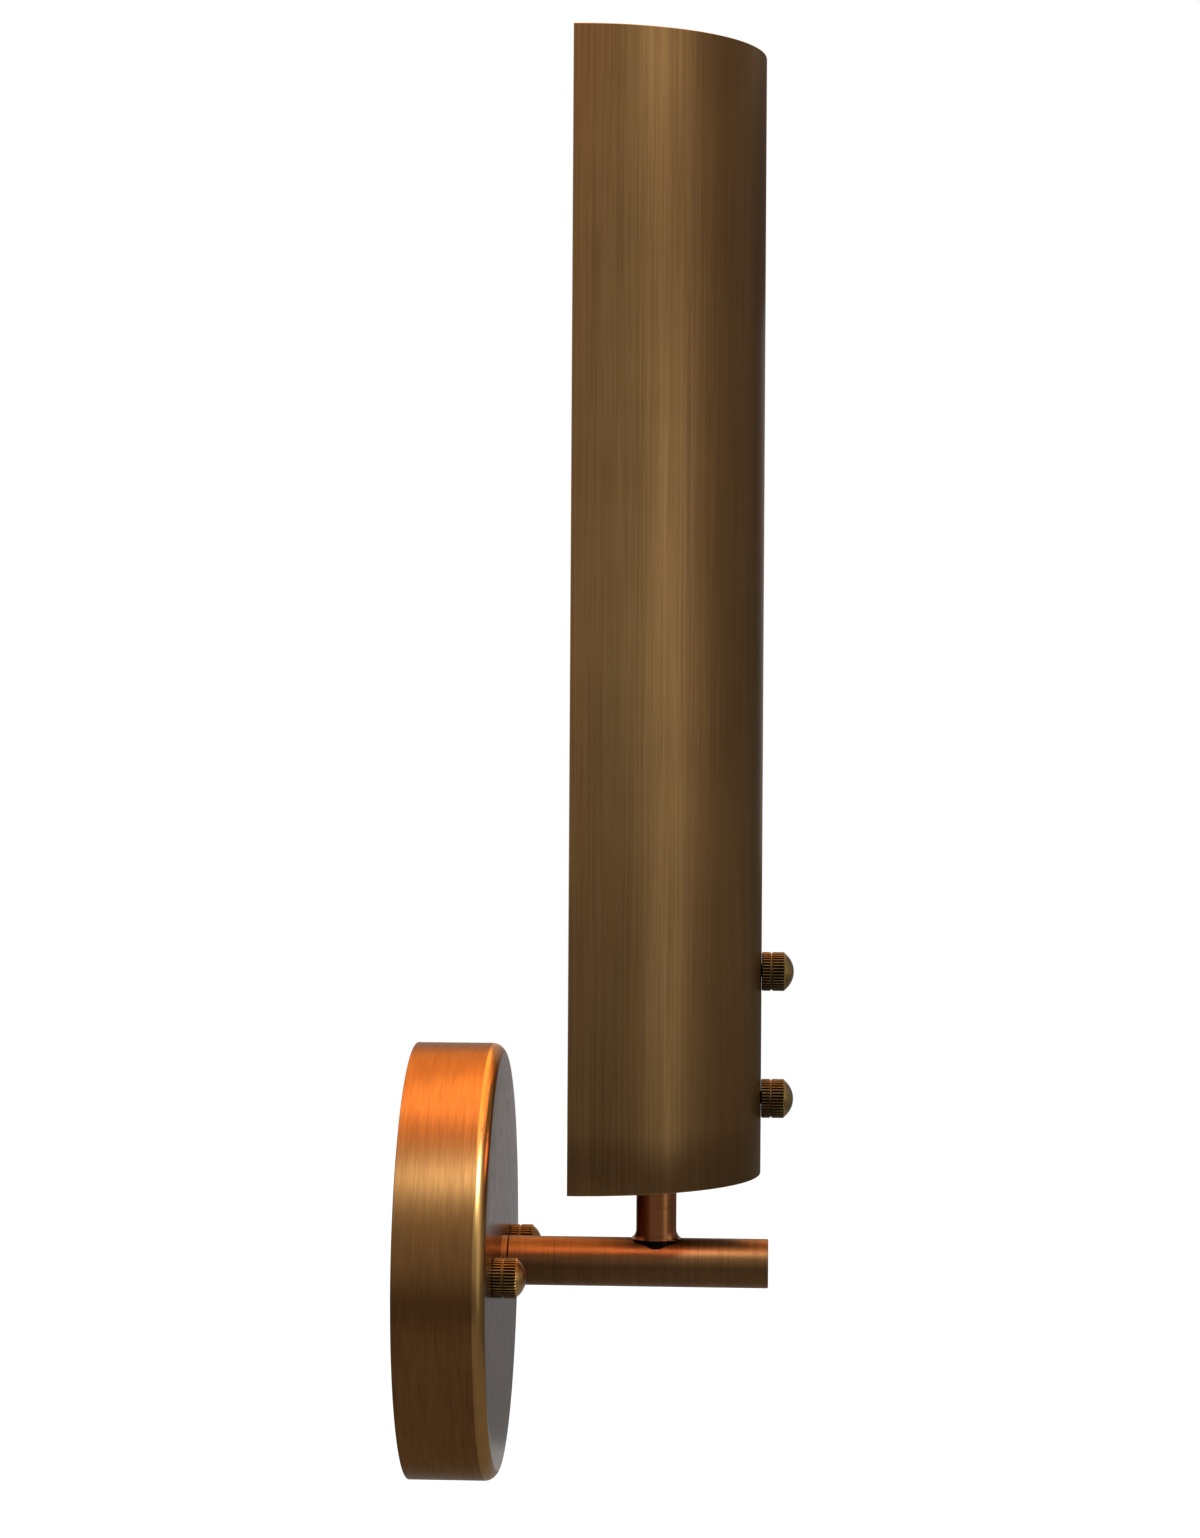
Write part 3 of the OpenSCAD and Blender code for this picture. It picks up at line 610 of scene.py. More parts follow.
def finish_piece(bm, name, material, *nodes, cutters=(), recess=None, zones=(), sharp=35):
    """Makes an object of the shape, in place of its CAD nodes and on their body.
    recess gives how dark a place is painted at a joint or groove, for dark patina and painted shade
    there. zones are further materials, each with the test of its faces."""
    mesh = as_mesh(name, bm, MM)
    if cutters:
        mesh = carved(mesh, cutters)
        mesh.name = name
    mesh.materials.clear()
    mesh.materials.append(material)
    for index, (zone_material, is_in_zone) in enumerate(zones, 1):
        mesh.materials.append(zone_material)
        for face in mesh.polygons:
            if is_in_zone(face.center / MM, face.normal):
                face.material_index = index
    if recess:
        marks = mesh.attributes.new("recess", "FLOAT", "POINT")
        marks.data.foreach_set("value", [recess(vert.co / MM) for vert in mesh.vertices])
    mesh.shade_smooth()
    mesh.set_sharp_from_angle(angle=math.radians(sharp))
    piece = new_object(name, mesh)
    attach(piece, frame["nodes"][nodes[0]]["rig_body"])
    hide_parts(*nodes)
    return piece


# Wall bracket

# CAD nodes that only need their edges rounded, with their material and the width of the rounding
HIDDEN_HARDWARE = (
    ("box_bar", zinc, 0.25),
    ("bar_eyelet", zinc, 0.2),
    ("stud_bar", zinc, 0.25),
    ("stud_nuts", zinc, 0.35),
    ("ground_screw", green_plating, 0.25),
    ("nipple_nut", thread_brass, 0.4),
    ("nipple_washer", zinc, 0.15),
    ("ground_lug", zinc, 0.15),
    ("holder_nut", thread_brass, 0.35),
    ("centre_contact", cap_metal, 0.12),
    ("terminals", cap_metal, 0.25),
    ("shade_bracket", strap_brass, 0.35),
    ("holder_cup", strap_brass, 0.2),
)


def make_hidden_hardware():
    for node, material, width in HIDDEN_HARDWARE:
        finish_piece(copied(node, width), f"{node}_rounded", material, node)


STUD_PITCH = 0.7
STUD_THREAD_DEPTH = 0.4


def make_canopy_studs():
    node = "canopy_studs"
    stud_x = high(node).x - stud_radius
    length = size(node).y
    studs = [
        out_from_wall(
            threaded(stud_radius, length, STUD_PITCH, STUD_THREAD_DEPTH), -high(node).y, side * stud_x)
        for side in (-1, 1)
    ]
    finish_piece(joined(studs), "canopy_studs_threaded", thread_brass, node)


# Canopy

CANOPY_WALL = 1.2
CANOPY_EDGE_R = 3.6
CANOPY_STEPS = 192

# The pan's back edge is rounded by this share of its wall
BACK_ROUND = 0.3

# Rings on the flat front, as shares of its radius
FRONT_RINGS = (0.75, 0.4)

# A face whose normal has this share of it straight out belongs to the flat front
FLAT_FRONT = 0.97
STUD_HOLE_BACK = 8
STUD_HOLE_LENGTH = 12


def stud_hole(front, x=0, z=0):
    """The tool for a stud's hole in a sheet, whose front is this far from the wall."""
    tool = disc(stud_hole_r, STUD_HOLE_LENGTH, 32)
    return out_from_wall(tool, front - STUD_HOLE_BACK, x, z)


def make_canopy():
    radius = high("canopy").x
    depth = -low("canopy").y
    centre_hole = high("arm_nipple").x + HOLE_GAP
    edge = radius - CANOPY_EDGE_R
    inner_edge_r = CANOPY_EDGE_R - CANOPY_WALL
    rim_r = CANOPY_WALL * BACK_ROUND
    outline = (
        arc(radius - rim_r, rim_r, rim_r, -90, 0, 4)
        + arc(edge, depth - CANOPY_EDGE_R, CANOPY_EDGE_R, 0, 90, 14)
        + [(edge * share, depth) for share in FRONT_RINGS]
        + [(centre_hole, depth), (centre_hole, depth - CANOPY_WALL)]
        + arc(edge, depth - CANOPY_EDGE_R, inner_edge_r, 90, 0, 8)
        + [(radius - CANOPY_WALL, rim_r), (radius - CANOPY_WALL + rim_r, 0)]
    )
    holes = [stud_hole(depth, side * canopy_knob_x) for side in (-1, 1)]
    face_y = -depth
    edge_y = face_y + CANOPY_EDGE_R

    def is_face(place, normal):
        return normal.y < -FLAT_FRONT and place.y < face_y + 0.2

    # The rounded edge gets the lighter edge brass, partly a painted highlight
    def is_edge(place, normal):
        return place.y < edge_y and -FLAT_FRONT < normal.y < -0.1 and place.xz.length > edge

    finish_piece(
        out_from_wall(lathe(outline, steps=CANOPY_STEPS)), "canopy_pan", canopy_brass, "canopy",
        cutters=holes, zones=[(canopy_face_brass, is_face), (canopy_edge_brass, is_edge)])


# Arm

SEAM_SOFTENING = 0.2
SEAM_DEPTH = 0.5
ARM_END_SOFTENING = 0.4
ARM_BORE_R = 5.05
BORE_EASE = 0.1
PLUG_CHAMFER = 0.25

# Rings on the tube, as shares of its length
ARM_RINGS = (0.25, 0.5, 0.75)


def make_arm():
    start = -high("arm_tube").y
    end = -low("arm_tube").y
    length = end - start
    outline = (
        [(ARM_BORE_R, 0), (arm_r - SEAM_DEPTH, 0), (arm_r, SEAM_SOFTENING)]
        + [(arm_r, length * share) for share in ARM_RINGS]
        + arc(arm_r - ARM_END_SOFTENING, length - ARM_END_SOFTENING, ARM_END_SOFTENING, 0, 90, 5)
        + [(ARM_BORE_R + BORE_EASE, length), (ARM_BORE_R, length - BORE_EASE)]
    )

    def is_seam(place, normal):
        return abs(place.y + start) < SEAM_SOFTENING and abs(normal.y) > 0.3

    # The seam's chamfer faces get the painted seam shadow
    zones = [(seam_shadow_brass, is_seam)]
    finish_piece(out_from_wall(lathe(outline), start), "arm_turned", arm_brass, "arm_tube", zones=zones)
    collar_start = -high("arm_collar").y
    collar = start - collar_start
    outline = [
        (ARM_BORE_R, 0), (arm_r, 0), (arm_r, collar - SEAM_SOFTENING),
        (arm_r - SEAM_DEPTH, collar), (ARM_BORE_R, collar),
    ]
    finish_piece(
        out_from_wall(lathe(outline), collar_start), "collar_turned", arm_brass, "arm_collar",
        zones=zones)
    plug_r = high("arm_end_plug").x
    plug = size("arm_end_plug").y
    outline = [
        (0, 0), (plug_r, 0), (plug_r, plug - PLUG_CHAMFER), (plug_r - PLUG_CHAMFER, plug), (0, plug)]
    finish_piece(
        out_from_wall(lathe(outline, False), end - plug), "arm_end_turned", arm_brass, "arm_end_plug")


NIPPLE_PITCH = 1.0
ARM_NIPPLE_THREAD_DEPTH = 0.5
ARM_NIPPLE_BORE_R = 3.5
HOLDER_NIPPLE_THREAD_DEPTH = 0.45
HOLDER_NIPPLE_BORE_R = 2.8


def make_threaded_tubes():
    node = "arm_nipple"
    length = size(node).y
    nipple = threaded(
        high(node).x, length, NIPPLE_PITCH, ARM_NIPPLE_THREAD_DEPTH, ARM_NIPPLE_BORE_R, 40)
    finish_piece(out_from_wall(nipple, -high(node).y), "arm_nipple_threaded", thread_brass, node)
    node = "holder_nipple"
    length = size(node).z
    nipple = threaded(
        high(node).x, length, NIPPLE_PITCH, HOLDER_NIPPLE_THREAD_DEPTH, HOLDER_NIPPLE_BORE_R, 36)
    finish_piece(
        above(nipple, y=stem_y, z=low(node).z), "holder_nipple_threaded", thread_brass, node)


# Stem

STEM_R = 5.6
STEM_BORE_R = 4.1
STEM_TOP_CHAMFER = 0.2
FLARE_HEIGHT = 2.4

# Below this level the joint is painted dark, for dark patina and painted shade in its gap, and sunk
# where the stem has no flare
FOOT_LEVEL = 6.6
FOOT_EDGE = 0.06
FOOT_SINK = 0.35
FOOT_RINGS = (4.2, 5.2)

# Further rings on the stem, as shares of the arm's radius and of the stem's height
RINGS_IN_ARM = (0.3, 0.4, 0.5)
STEM_RINGS = (0.45, 0.6, 0.8)

# The flare grows from nothing to its full width over this span of a place's share of y in its reach
FLARE_START = 0.55
FLARE_SPAN = 0.35


def make_stem():
    top = high("stem_tube").z
    flare_width = size("stem_tube").y / 2 - STEM_R
    flare_r = (FLARE_HEIGHT ** 2 + flare_width ** 2) / (2 * flare_width)
    sweep = math.degrees(math.asin(FLARE_HEIGHT / flare_r))
    outline = (
        [(STEM_BORE_R, -1), (STEM_R, -1)]
        + [(STEM_R, arm_r * share) for share in RINGS_IN_ARM]
        + [
            (STEM_R + flare_width * (2 * level / arm_r - 1), level)
            for level in FOOT_RINGS + (FOOT_LEVEL - FOOT_EDGE, FOOT_LEVEL)
        ]
        + arc(STEM_R + flare_r, arm_r + FLARE_HEIGHT, flare_r, 180 + sweep, 180, 8)
        + [(STEM_R, top * share) for share in STEM_RINGS]
        + [(STEM_R, top - STEM_TOP_CHAMFER), (STEM_R - STEM_TOP_CHAMFER, top), (STEM_BORE_R, top)]
    )
    dark_below = FOOT_LEVEL - FOOT_EDGE / 2

    # Painted shade and dark patina: everything below the foot level is marked dark
    def foot_recess(place):
        return 1.0 if place.z < dark_below else 0.0

    bm = lathe(outline, steps=128)
    for vert in bm.verts:
        reach = vert.co.xy.length
        if reach > STEM_R - 0.1 and vert.co.z < arm_r + FLARE_HEIGHT:
            flared = max(0, min(1, (abs(vert.co.y) / reach - FLARE_START) / FLARE_SPAN))
            wanted = STEM_R + (reach - STEM_R) * flared
            if vert.co.z < dark_below:
                wanted -= FOOT_SINK * (1 - flared)
            vert.co.xy *= wanted / reach
    arm_shape = out_from_wall(disc(arm_r, -2 * stem_y, 192))
    finish_piece(
        above(bm, y=stem_y), "stem_turned", foot_brass, "stem_tube", cutters=[arm_shape],
        recess=foot_recess)


# Shade

SHADE_WALL = 1.2
SHADE_STEPS = 120
SHADE_EDGE = 0.22


def make_shade():
    radius = high("shade").x
    axis_y = high("shade").y
    bottom = low("shade").z
    top = high("shade").z
    inner = radius - SHADE_WALL
    outline = [(inner, bottom), (radius, bottom), (radius, top), (inner, top)]
    bm = bmesh.new()
    spin(bm, drawn_line(bm, outline, True), -math.pi, SHADE_STEPS)
    soften(capped(bm), SHADE_EDGE)
    for height in shade_knob_heights:
        for side in (-1, 1):
            cut_level(bm, height + side * 2 * stud_hole_r)
    above(bm, y=axis_y)
    holes = [stud_hole(radius - axis_y, z=height) for height in shade_knob_heights]

    # The rims get the lighter edge brass, partly a painted highlight
    def is_edge(place, normal):
        near_rim = min(place.z - bottom, top - place.z, axis_y - place.y)
        return near_rim < SHADE_EDGE and abs(normal.z) + abs(normal.y) > 0.3 or near_rim < 0.01

    finish_piece(
        bm, "shade_sheet", shade_brass, "shade", cutters=holes, zones=[(edge_brass, is_edge)])


SCREW_HEAD_R = 3.6
SCREW_HEAD_H = 2.4
SCREW_HEAD_ROUND = 0.8
SCREW_HEAD_CHAMFER = 0.2
SCREW_SLOT = 1


def make_shade_screws():
    node = "shade_screws"
    head_out = -high(node).y
    length = -low(node).y - head_out - SCREW_HEAD_H
    outline = (
        [(0, 0)]
        + arc(SCREW_HEAD_R - SCREW_HEAD_ROUND, SCREW_HEAD_ROUND, SCREW_HEAD_ROUND, -90, 0, 5)
        + [(SCREW_HEAD_R, SCREW_HEAD_H - SCREW_HEAD_CHAMFER)]
        + [(SCREW_HEAD_R - SCREW_HEAD_CHAMFER, SCREW_HEAD_H), (0, SCREW_HEAD_H)]
    )
    parts = []
    slots = []
    for height in shade_knob_heights:
        parts.append(out_from_wall(lathe(outline, False, 48), head_out, z=height))
        shank = threaded(stud_radius, length, STUD_PITCH, STUD_THREAD_DEPTH)
        parts.append(out_from_wall(shank, head_out + SCREW_HEAD_H, z=height))
        slot = bmesh.new()
        bmesh.ops.create_cube(slot, size=1)
        bmesh.ops.scale(slot, vec=(3 * SCREW_HEAD_R, 2 * SCREW_SLOT, SCREW_SLOT), verts=slot.verts)
        slots.append(above(slot, y=-head_out, z=height))
    finish_piece(joined(parts), "shade_screws_slotted", thread_brass, node, cutters=slots)


# Knobs

KNURL_RIDGES = 38
KNURL_DEPTH = 0.34
KNOB_FOOT = 2.35
KNOB_FOOT_CHAMFER = 0.3
KNOB_GROOVE = 0.7
GROOVE_EASE = 0.15
KNOB_BAND = 3.35
BAND_CHAMFER = 0.2
KNOB_BORE_R = 2.05
KNOB_BORE = 6.5

# The groove and the dome lie this far above the knurl's roots
SMOOTH_RISE = 0.04

# How dark the groove and the ridges' tops are painted, as painted shade, where 1 is the roots and 0 the
# dome
GROOVE_SHADE = 0.6
KNURL_SHADE = 0.48

# Places this close to a level, or to the ridges' tops, count as on it
NEAR = 0.05
RIDGE_TOP = 0.06


def make_knob(node, material):
    """A cap nut with two knurled bands, a groove between them and a domed end."""
    centre = middle(node)
    radius = size(node).z / 2
    foot_y = high(node).y
    length = size(node).y
    root = radius - KNURL_DEPTH
    smooth_r = root + SMOOTH_RISE
    band_low = KNOB_FOOT + KNOB_GROOVE
    band_high = band_low + KNOB_BAND
    dome = length - band_high
    dome_r = (smooth_r ** 2 + dome ** 2) / (2 * dome)
    dome_start = math.degrees(math.acos(smooth_r / dome_r))
    outline = (
        [(KNOB_BORE_R, 0), (radius - KNOB_FOOT_CHAMFER, 0), (radius, KNOB_FOOT_CHAMFER)]
        + [(radius, KNOB_FOOT), (smooth_r, KNOB_FOOT + GROOVE_EASE)]
        + [(smooth_r, band_low - GROOVE_EASE), (radius, band_low)]
        + [(radius, band_high - BAND_CHAMFER)]
        + arc(0, length - dome_r, dome_r, dome_start, 90, 12)[:-1]
        + [(0, length), (0, KNOB_BORE), (KNOB_BORE_R, KNOB_BORE)]
    )
    steps = 4 * KNURL_RIDGES
    bm = lathe(outline, steps=steps)
    for vert in bm.verts:
        reach = vert.co.xy.length
        if reach > root + NEAR and turn_step(vert.co, steps) % 4 < 2:
            vert.co.xy *= root / reach
    faced_out(bm)

    # Painted shade and patina: dark roots, a dark groove and dimmed ridge tops, with the dome left at
    # its bright tone
    def knurl_recess(place):
        reach = math.hypot(place.x - centre.x, place.z - centre.z)
        out = foot_y - place.y
        if out > band_high - NEAR:
            return 0.0
        if KNOB_FOOT + NEAR < out < band_low - NEAR:
            return GROOVE_SHADE
        top = radius - RIDGE_TOP
        return max(KNURL_SHADE, min(1, (top - reach) / (top - root)))

    out_from_wall(bm, -foot_y, centre.x, centre.z)
    finish_piece(bm, f"{node}_knurled", material, node, recess=knurl_recess, sharp=28)


# Lamp holder

HOLDER_CHAMFER = 0.5
HOLDER_ROUND = 2
HOLDER_LIP_ROUND = 0.6
HOLDER_WIRING_R = 14
HOLDER_WEB = 4
HOLDER_RIVET_HOLE_R = 2
SHELL_GAP = 0.05

# A shallow groove runs round the body
HOLDER_GROOVE = 16.5
HOLDER_GROOVE_DEPTH = 0.35
HOLDER_GROOVE_MOUTH = 1.0
HOLDER_GROOVE_FLOOR = 0.4


def make_holder():
    node = "holder_body"
    radius = high(node).x
    height = size(node).z
    groove_r = radius - HOLDER_GROOVE_DEPTH
    web_high = HOLDER_WIRING_H + HOLDER_WEB
    shell_hole = high("screw_shell").x + SHELL_GAP
    lip = HOLDER_LIP_ROUND
    outline = (
        [(HOLDER_WIRING_R, 0), (radius - HOLDER_CHAMFER, 0), (radius, HOLDER_CHAMFER)]
        + [(radius, HOLDER_GROOVE - HOLDER_GROOVE_MOUTH)]
        + [(groove_r, HOLDER_GROOVE + side * HOLDER_GROOVE_FLOOR) for side in (-1, 1)]
        + [(radius, HOLDER_GROOVE + HOLDER_GROOVE_MOUTH)]
        + arc(radius - HOLDER_ROUND, height - HOLDER_ROUND, HOLDER_ROUND, 0, 90, 8)
        + arc(shell_hole + lip, height - lip, lip, 90, 180, 4)
        + [(shell_hole, web_high), (HOLDER_RIVET_HOLE_R, web_high)]
        + [(HOLDER_RIVET_HOLE_R, HOLDER_WIRING_H), (HOLDER_WIRING_R, HOLDER_WIRING_H)]
    )
    finish_piece(above(lathe(outline), y=stem_y, z=low(node).z), "holder_glazed", ceramic, node)


LAMP_PITCH = 3.63
LAMP_THREAD_STEPS = 72
THREAD_POINTS = 9


def rolled_thread(node, depth, wall):
    """A thin tube with a rolled lamp thread, over the height of its node."""
    crest = high(node).x
    length = size(node).z
    profile = [
        (crest - depth * (0.5 + 0.5 * math.cos(math.tau * share)), LAMP_PITCH * (share - 1))
        for share in [i / (THREAD_POINTS - 1) for i in range(THREAD_POINTS)]
    ]
    skin = thread_skin(profile, LAMP_PITCH, length, LAMP_THREAD_STEPS)
    tube = bored(skin, crest - depth - wall, length, LAMP_THREAD_STEPS)
    return above(tube, y=stem_y, z=low(node).z)


SHELL_THREAD_DEPTH = 0.3
SHELL_WALL = 0.1


def make_screw_shell():
    shell = rolled_thread("screw_shell", SHELL_THREAD_DEPTH, SHELL_WALL)
    finish_piece(shell, "screw_shell_rolled", cap_metal, "screw_shell")


# Lamp

CAP_THREAD_DEPTH = 0.55
CAP_WALL = 0.12
GLASS_WALL = 0.8
NECK_GAP = 0.15
NECK_ABOVE_CAP = 1
SHOULDER_HEIGHT = 9
SHOULDER_STEPS = 13

# The insulator between the cap and its contact. Its waist is at this share of its height
INSULATOR_FOOT = [(0, 0), (5.2, 0), (5.6, 0.2)]
INSULATOR_WAIST_R = 8.2
INSULATOR_WAIST = 0.42
INSULATOR_LIP = 0.6
INSULATOR_LIP_H = 0.15


def glass_outline(neck_r, neck_low, shoulder_low, shoulder_high, radius, top, inset):
    """Half section of the bulb's glass, from its neck up to its round top."""
    outline = [(neck_r - inset, neck_low), (neck_r - inset, shoulder_low)]
    for i in range(1, SHOULDER_STEPS):
        part = i / SHOULDER_STEPS
        ease = part * part * (3 - 2 * part)
        outline.append(
            (neck_r - inset + (radius - neck_r) * ease,
             shoulder_low + (shoulder_high - shoulder_low) * part))
    outline.append((radius - inset, shoulder_high))
    outline += arc(0, top - radius, radius - inset, 0, 90, 20)
    return outline[:-1] + [(0, top - inset)]


def make_bulb():
    neck_r = high("lamp_cap").x - CAP_THREAD_DEPTH - CAP_WALL - NECK_GAP
    shoulder_low = high("lamp_cap").z + NECK_ABOVE_CAP
    node = "lamp_glass"
    sizes = (
        neck_r, low(node).z, shoulder_low, shoulder_low + SHOULDER_HEIGHT, high(node).x, high(node).z)
    outer = glass_outline(*sizes, 0)
    inner = glass_outline(*sizes, GLASS_WALL)
    glass = lathe(outer + inner[::-1], False)
    clean(capped(glass))
    bulb = finish_piece(above(glass, y=stem_y), "lamp_bulb", bulb_glass, node)
    bulb.visible_shadow = False


def make_lamp_cap():
    cap = rolled_thread("lamp_cap", CAP_THREAD_DEPTH, CAP_WALL)
    finish_piece(cap, "lamp_cap_rolled", cap_metal, "lamp_cap")
    node = "lamp_insulator"
    height = size(node).z
    radius = high(node).x
    outline = INSULATOR_FOOT + [
        (INSULATOR_WAIST_R, height * INSULATOR_WAIST),
        (radius - INSULATOR_LIP, height - INSULATOR_LIP_H), (radius, height), (0, height),
    ]
    finish_piece(
        above(lathe(outline, False), y=stem_y, z=low(node).z), "lamp_insulator_moulded",
        black_insulator, node)
    node = "lamp_contact"
    height = size(node).z
    radius = high(node).x
    outline = [(0, 0)] + [
        (radius * math.sin(angle), height * (1 - math.cos(angle)))
        for angle in [math.radians(90 * i / 8) for i in range(1, 9)]
    ] + [(0, height)]
    finish_piece(
        above(lathe(outline, False, 48), y=stem_y, z=low(node).z), "lamp_contact_soldered",
        lead_solder, node)


GLASS_FOOT_INSET = 0.7
GLASS_FOOT_H = 0.8
GLASS_STEM_R = 3.4
GLASS_FUNNEL_LOW = 1
GLASS_FUNNEL_H = 12
GLASS_ROD_R = 1.1
GLASS_ROD_TIP_R = 0.6

# Where the glass stem narrows to its rod, as radius and height above its foot
GLASS_PINCH = ((GLASS_STEM_R, 34), (3.1, 36), (1.8, 39), (GLASS_ROD_R, 42))


def make_lamp_stem():
    node = "lamp_stem"
    bottom = low(node).z
    top = high(node).z
    foot = high(node).x - GLASS_FOOT_INSET
    funnel_low = bottom + GLASS_FUNNEL_LOW
    outline = (
        [(0, bottom), (foot, bottom), (foot, bottom + GLASS_FOOT_H)]
        + [
            (GLASS_STEM_R + (foot - GLASS_STEM_R) * (1 - share) ** 3,
             funnel_low + GLASS_FUNNEL_H * share)
            for share in [i / 10 for i in range(1, 11)]
        ]
        + [(radius, bottom + height) for radius, height in GLASS_PINCH]
        + [(GLASS_ROD_R, top - 1), (GLASS_ROD_TIP_R, top - 0.2), (0, top)]
    )
    stem = finish_piece(
        above(lathe(outline, False, 48), y=stem_y), "lamp_stem_drawn", stem_glass, node)
    stem.visible_shadow = False


FILAMENT_R = 0.8
FILAMENT_ROUND = 0.45
FILAMENT_TURNS = (45, 135, 225, 315)


def make_filaments():
    node = "lamp_filaments"
    ring = (high(node).x - FILAMENT_R) * math.sqrt(2)
    height = size(node).z
    flat_r = FILAMENT_R - FILAMENT_ROUND
    outline = (
        [(0, 0)] + arc(flat_r, FILAMENT_ROUND, FILAMENT_ROUND, -90, 0, 4)
        + arc(flat_r, height - FILAMENT_ROUND, FILAMENT_ROUND, 0, 90, 4) + [(0, height)]
    )
    rods = []
    for turn in FILAMENT_TURNS:
        x = ring * math.cos(math.radians(turn))
        y = stem_y + ring * math.sin(math.radians(turn))
        rods.append(above(lathe(outline, False, 20), x, y, low(node).z))
    finish_piece(joined(rods), "lamp_filaments_lit", filament_glow, node)
    finish_piece(copied("lamp_wires", 0.05, 1), "lamp_wires_drawn", nickel, "lamp_wires")


# Leads. Each point is side, distance from the wall and height, as in the part's source

LEAD_R = 1.0
LEAD_APART = 1.3
LEAD_SKIN_GAP = 0.02
NUT_X = 24
NUT_OUT = 12
NUT_TOP = -22
GROUND_NUT_TOP = -26
IN_NUT = 8
LUG_T = 0.8
LUG_TAIL = 14
BARREL_STAND_OFF = 0.5


def lamp_lead_points(side):
    web = low("holder_body").z + HOLDER_WIRING_H
    reach = -stem_y
    points = (
        [(5.9, reach, web - 2), (4.4, reach, web - 2.4), (2.4, reach, web - 4.6)]
        + [(LEAD_APART, reach, height) for height in (web - 8, 31, 21, 10)]
        + [(LEAD_APART, reach - 0.4, 5), (LEAD_APART, reach - 3, 1.4), (LEAD_APART, reach - 8, 0)]
        + [(LEAD_APART, out, 0) for out in (48, 36, 24, 16)]
        + [(1.8, 12, -0.6), (5, 9, -4), (11, 8.5, -8), (18, 9.6, -11.6), (22.6, 11.2, -14.8)]
        + [(NUT_X, NUT_OUT, NUT_TOP + rise) for rise in (3, 0, -IN_NUT)]
    )
    return [Vector((side * x, -out, z)) for x, out, z in points]


def ground_lead_points():
    barrel = -low("ground_lug").y - LUG_T - LEAD_R - BARREL_STAND_OFF
    points = [
        (barrel, 0.5 - LUG_TAIL), (barrel, -LUG_TAIL - 1.5), (19, -LUG_TAIL - 4.4),
        (15, -LUG_TAIL - 5.6), (12.8, -LUG_TAIL - 7), (NUT_OUT, GROUND_NUT_TOP + 2.6),
        (NUT_OUT, GROUND_NUT_TOP), (NUT_OUT, GROUND_NUT_TOP - IN_NUT),
    ]
    return [Vector((0, -out, z)) for out, z in points]


def make_lead(node, points, material):
    """A smooth round lead through the points."""
    curve = bpy.data.curves.new(node, "CURVE")
    curve.dimensions = "3D"
    curve.bevel_depth = (LEAD_R - LEAD_SKIN_GAP) * MM
    curve.bevel_resolution = 5
    curve.resolution_u = 6
    curve.use_fill_caps = True
    spline = curve.splines.new("BEZIER")
    spline.bezier_points.add(len(points) - 1)
    for knot, place in zip(spline.bezier_points, points):
        knot.co = place * MM
        knot.handle_left_type = "AUTO"
        knot.handle_right_type = "AUTO"
    curve.materials.append(material)
    route = new_object("route", curve)
    mesh = evaluated_mesh(route)
    bpy.data.objects.remove(route)
    finish_piece(clean(from_mesh(mesh)), f"{node}_smooth", material, node)


NUT_R = 5.5
NUT_LENGTH = 17
NUT_TIP_ROUND = 1.0
NUT_COLLAR = 4.1
NUT_BORE_R = LEAD_R + 0.1
NUT_RIBS = 12
NUT_RIB_DEPTH = 0.5

# The nut's body between its tip and its collar, as radius and height
NUT_BODY = [(4.4, 3), (4.6, 6), (4.8, 10)]


def wire_nut_shape():
    """A wire nut with moulded ribs round its body, its mouth up."""
    body_high = NUT_LENGTH - NUT_COLLAR
    outline = (
        [(0, 0)] + arc(NUT_R - 2.6, NUT_TIP_ROUND, NUT_TIP_ROUND, -90, 0, 5) + NUT_BODY
        + [(4.9, body_high - 0.1), (NUT_R - 0.1, body_high + 0.5), (NUT_R, body_high + 0.9)]
        + [(NUT_R, NUT_LENGTH - 0.4), (NUT_R - 0.3, NUT_LENGTH), (NUT_R - 0.8, NUT_LENGTH)]
        + [(NUT_BORE_R, NUT_LENGTH - 3), (NUT_BORE_R, NUT_LENGTH - 8.5), (0, NUT_LENGTH - 8.5)]
    )
    steps = 8 * NUT_RIBS
    bm = lathe(outline, False, steps)
    for vert in bm.verts:
        reach = vert.co.xy.length
        on_body = 1.5 < vert.co.z < body_high and reach > 3.5
        if on_body and turn_step(vert.co, steps) % 8 < 4:
            vert.co.xy *= (reach - NUT_RIB_DEPTH) / reach
    return clean(bm)


def make_leads():
    make_lead("lead_hot", lamp_lead_points(1), black_lead)
    make_lead("lead_neutral", lamp_lead_points(-1), white_lead)
    make_lead("lead_ground", ground_lead_points(), green_lead)
    nuts = [
        above(wire_nut_shape(), x, -NUT_OUT, top - NUT_LENGTH)
        for x, top in ((-NUT_X, NUT_TOP), (NUT_X, NUT_TOP), (0, GROUND_NUT_TOP))
    ]
    finish_piece(joined(nuts), "wire_nuts_ribbed", orange_plastic, "wire_nuts")


make_hidden_hardware()
make_canopy_studs()
make_canopy()
make_arm()
make_threaded_tubes()
make_stem()
make_shade()
make_shade_screws()
for side in ("upper", "lower"):
    make_knob(f"shade_knob_{side}", shade_knob_brass)
for side in ("left", "right"):
    make_knob(f"canopy_knob_{side}", canopy_knob_brass)
make_holder()
make_screw_shell()
make_bulb()
make_lamp_cap()
make_lamp_stem()
make_filaments()
make_leads()

# Stage and light

WHITE = (1, 1, 1, 1)

# How bright the white world and floor are to the rays that don't see the background
WORLD_FILL = 0.8
FLOOR_GLOW = 0.45


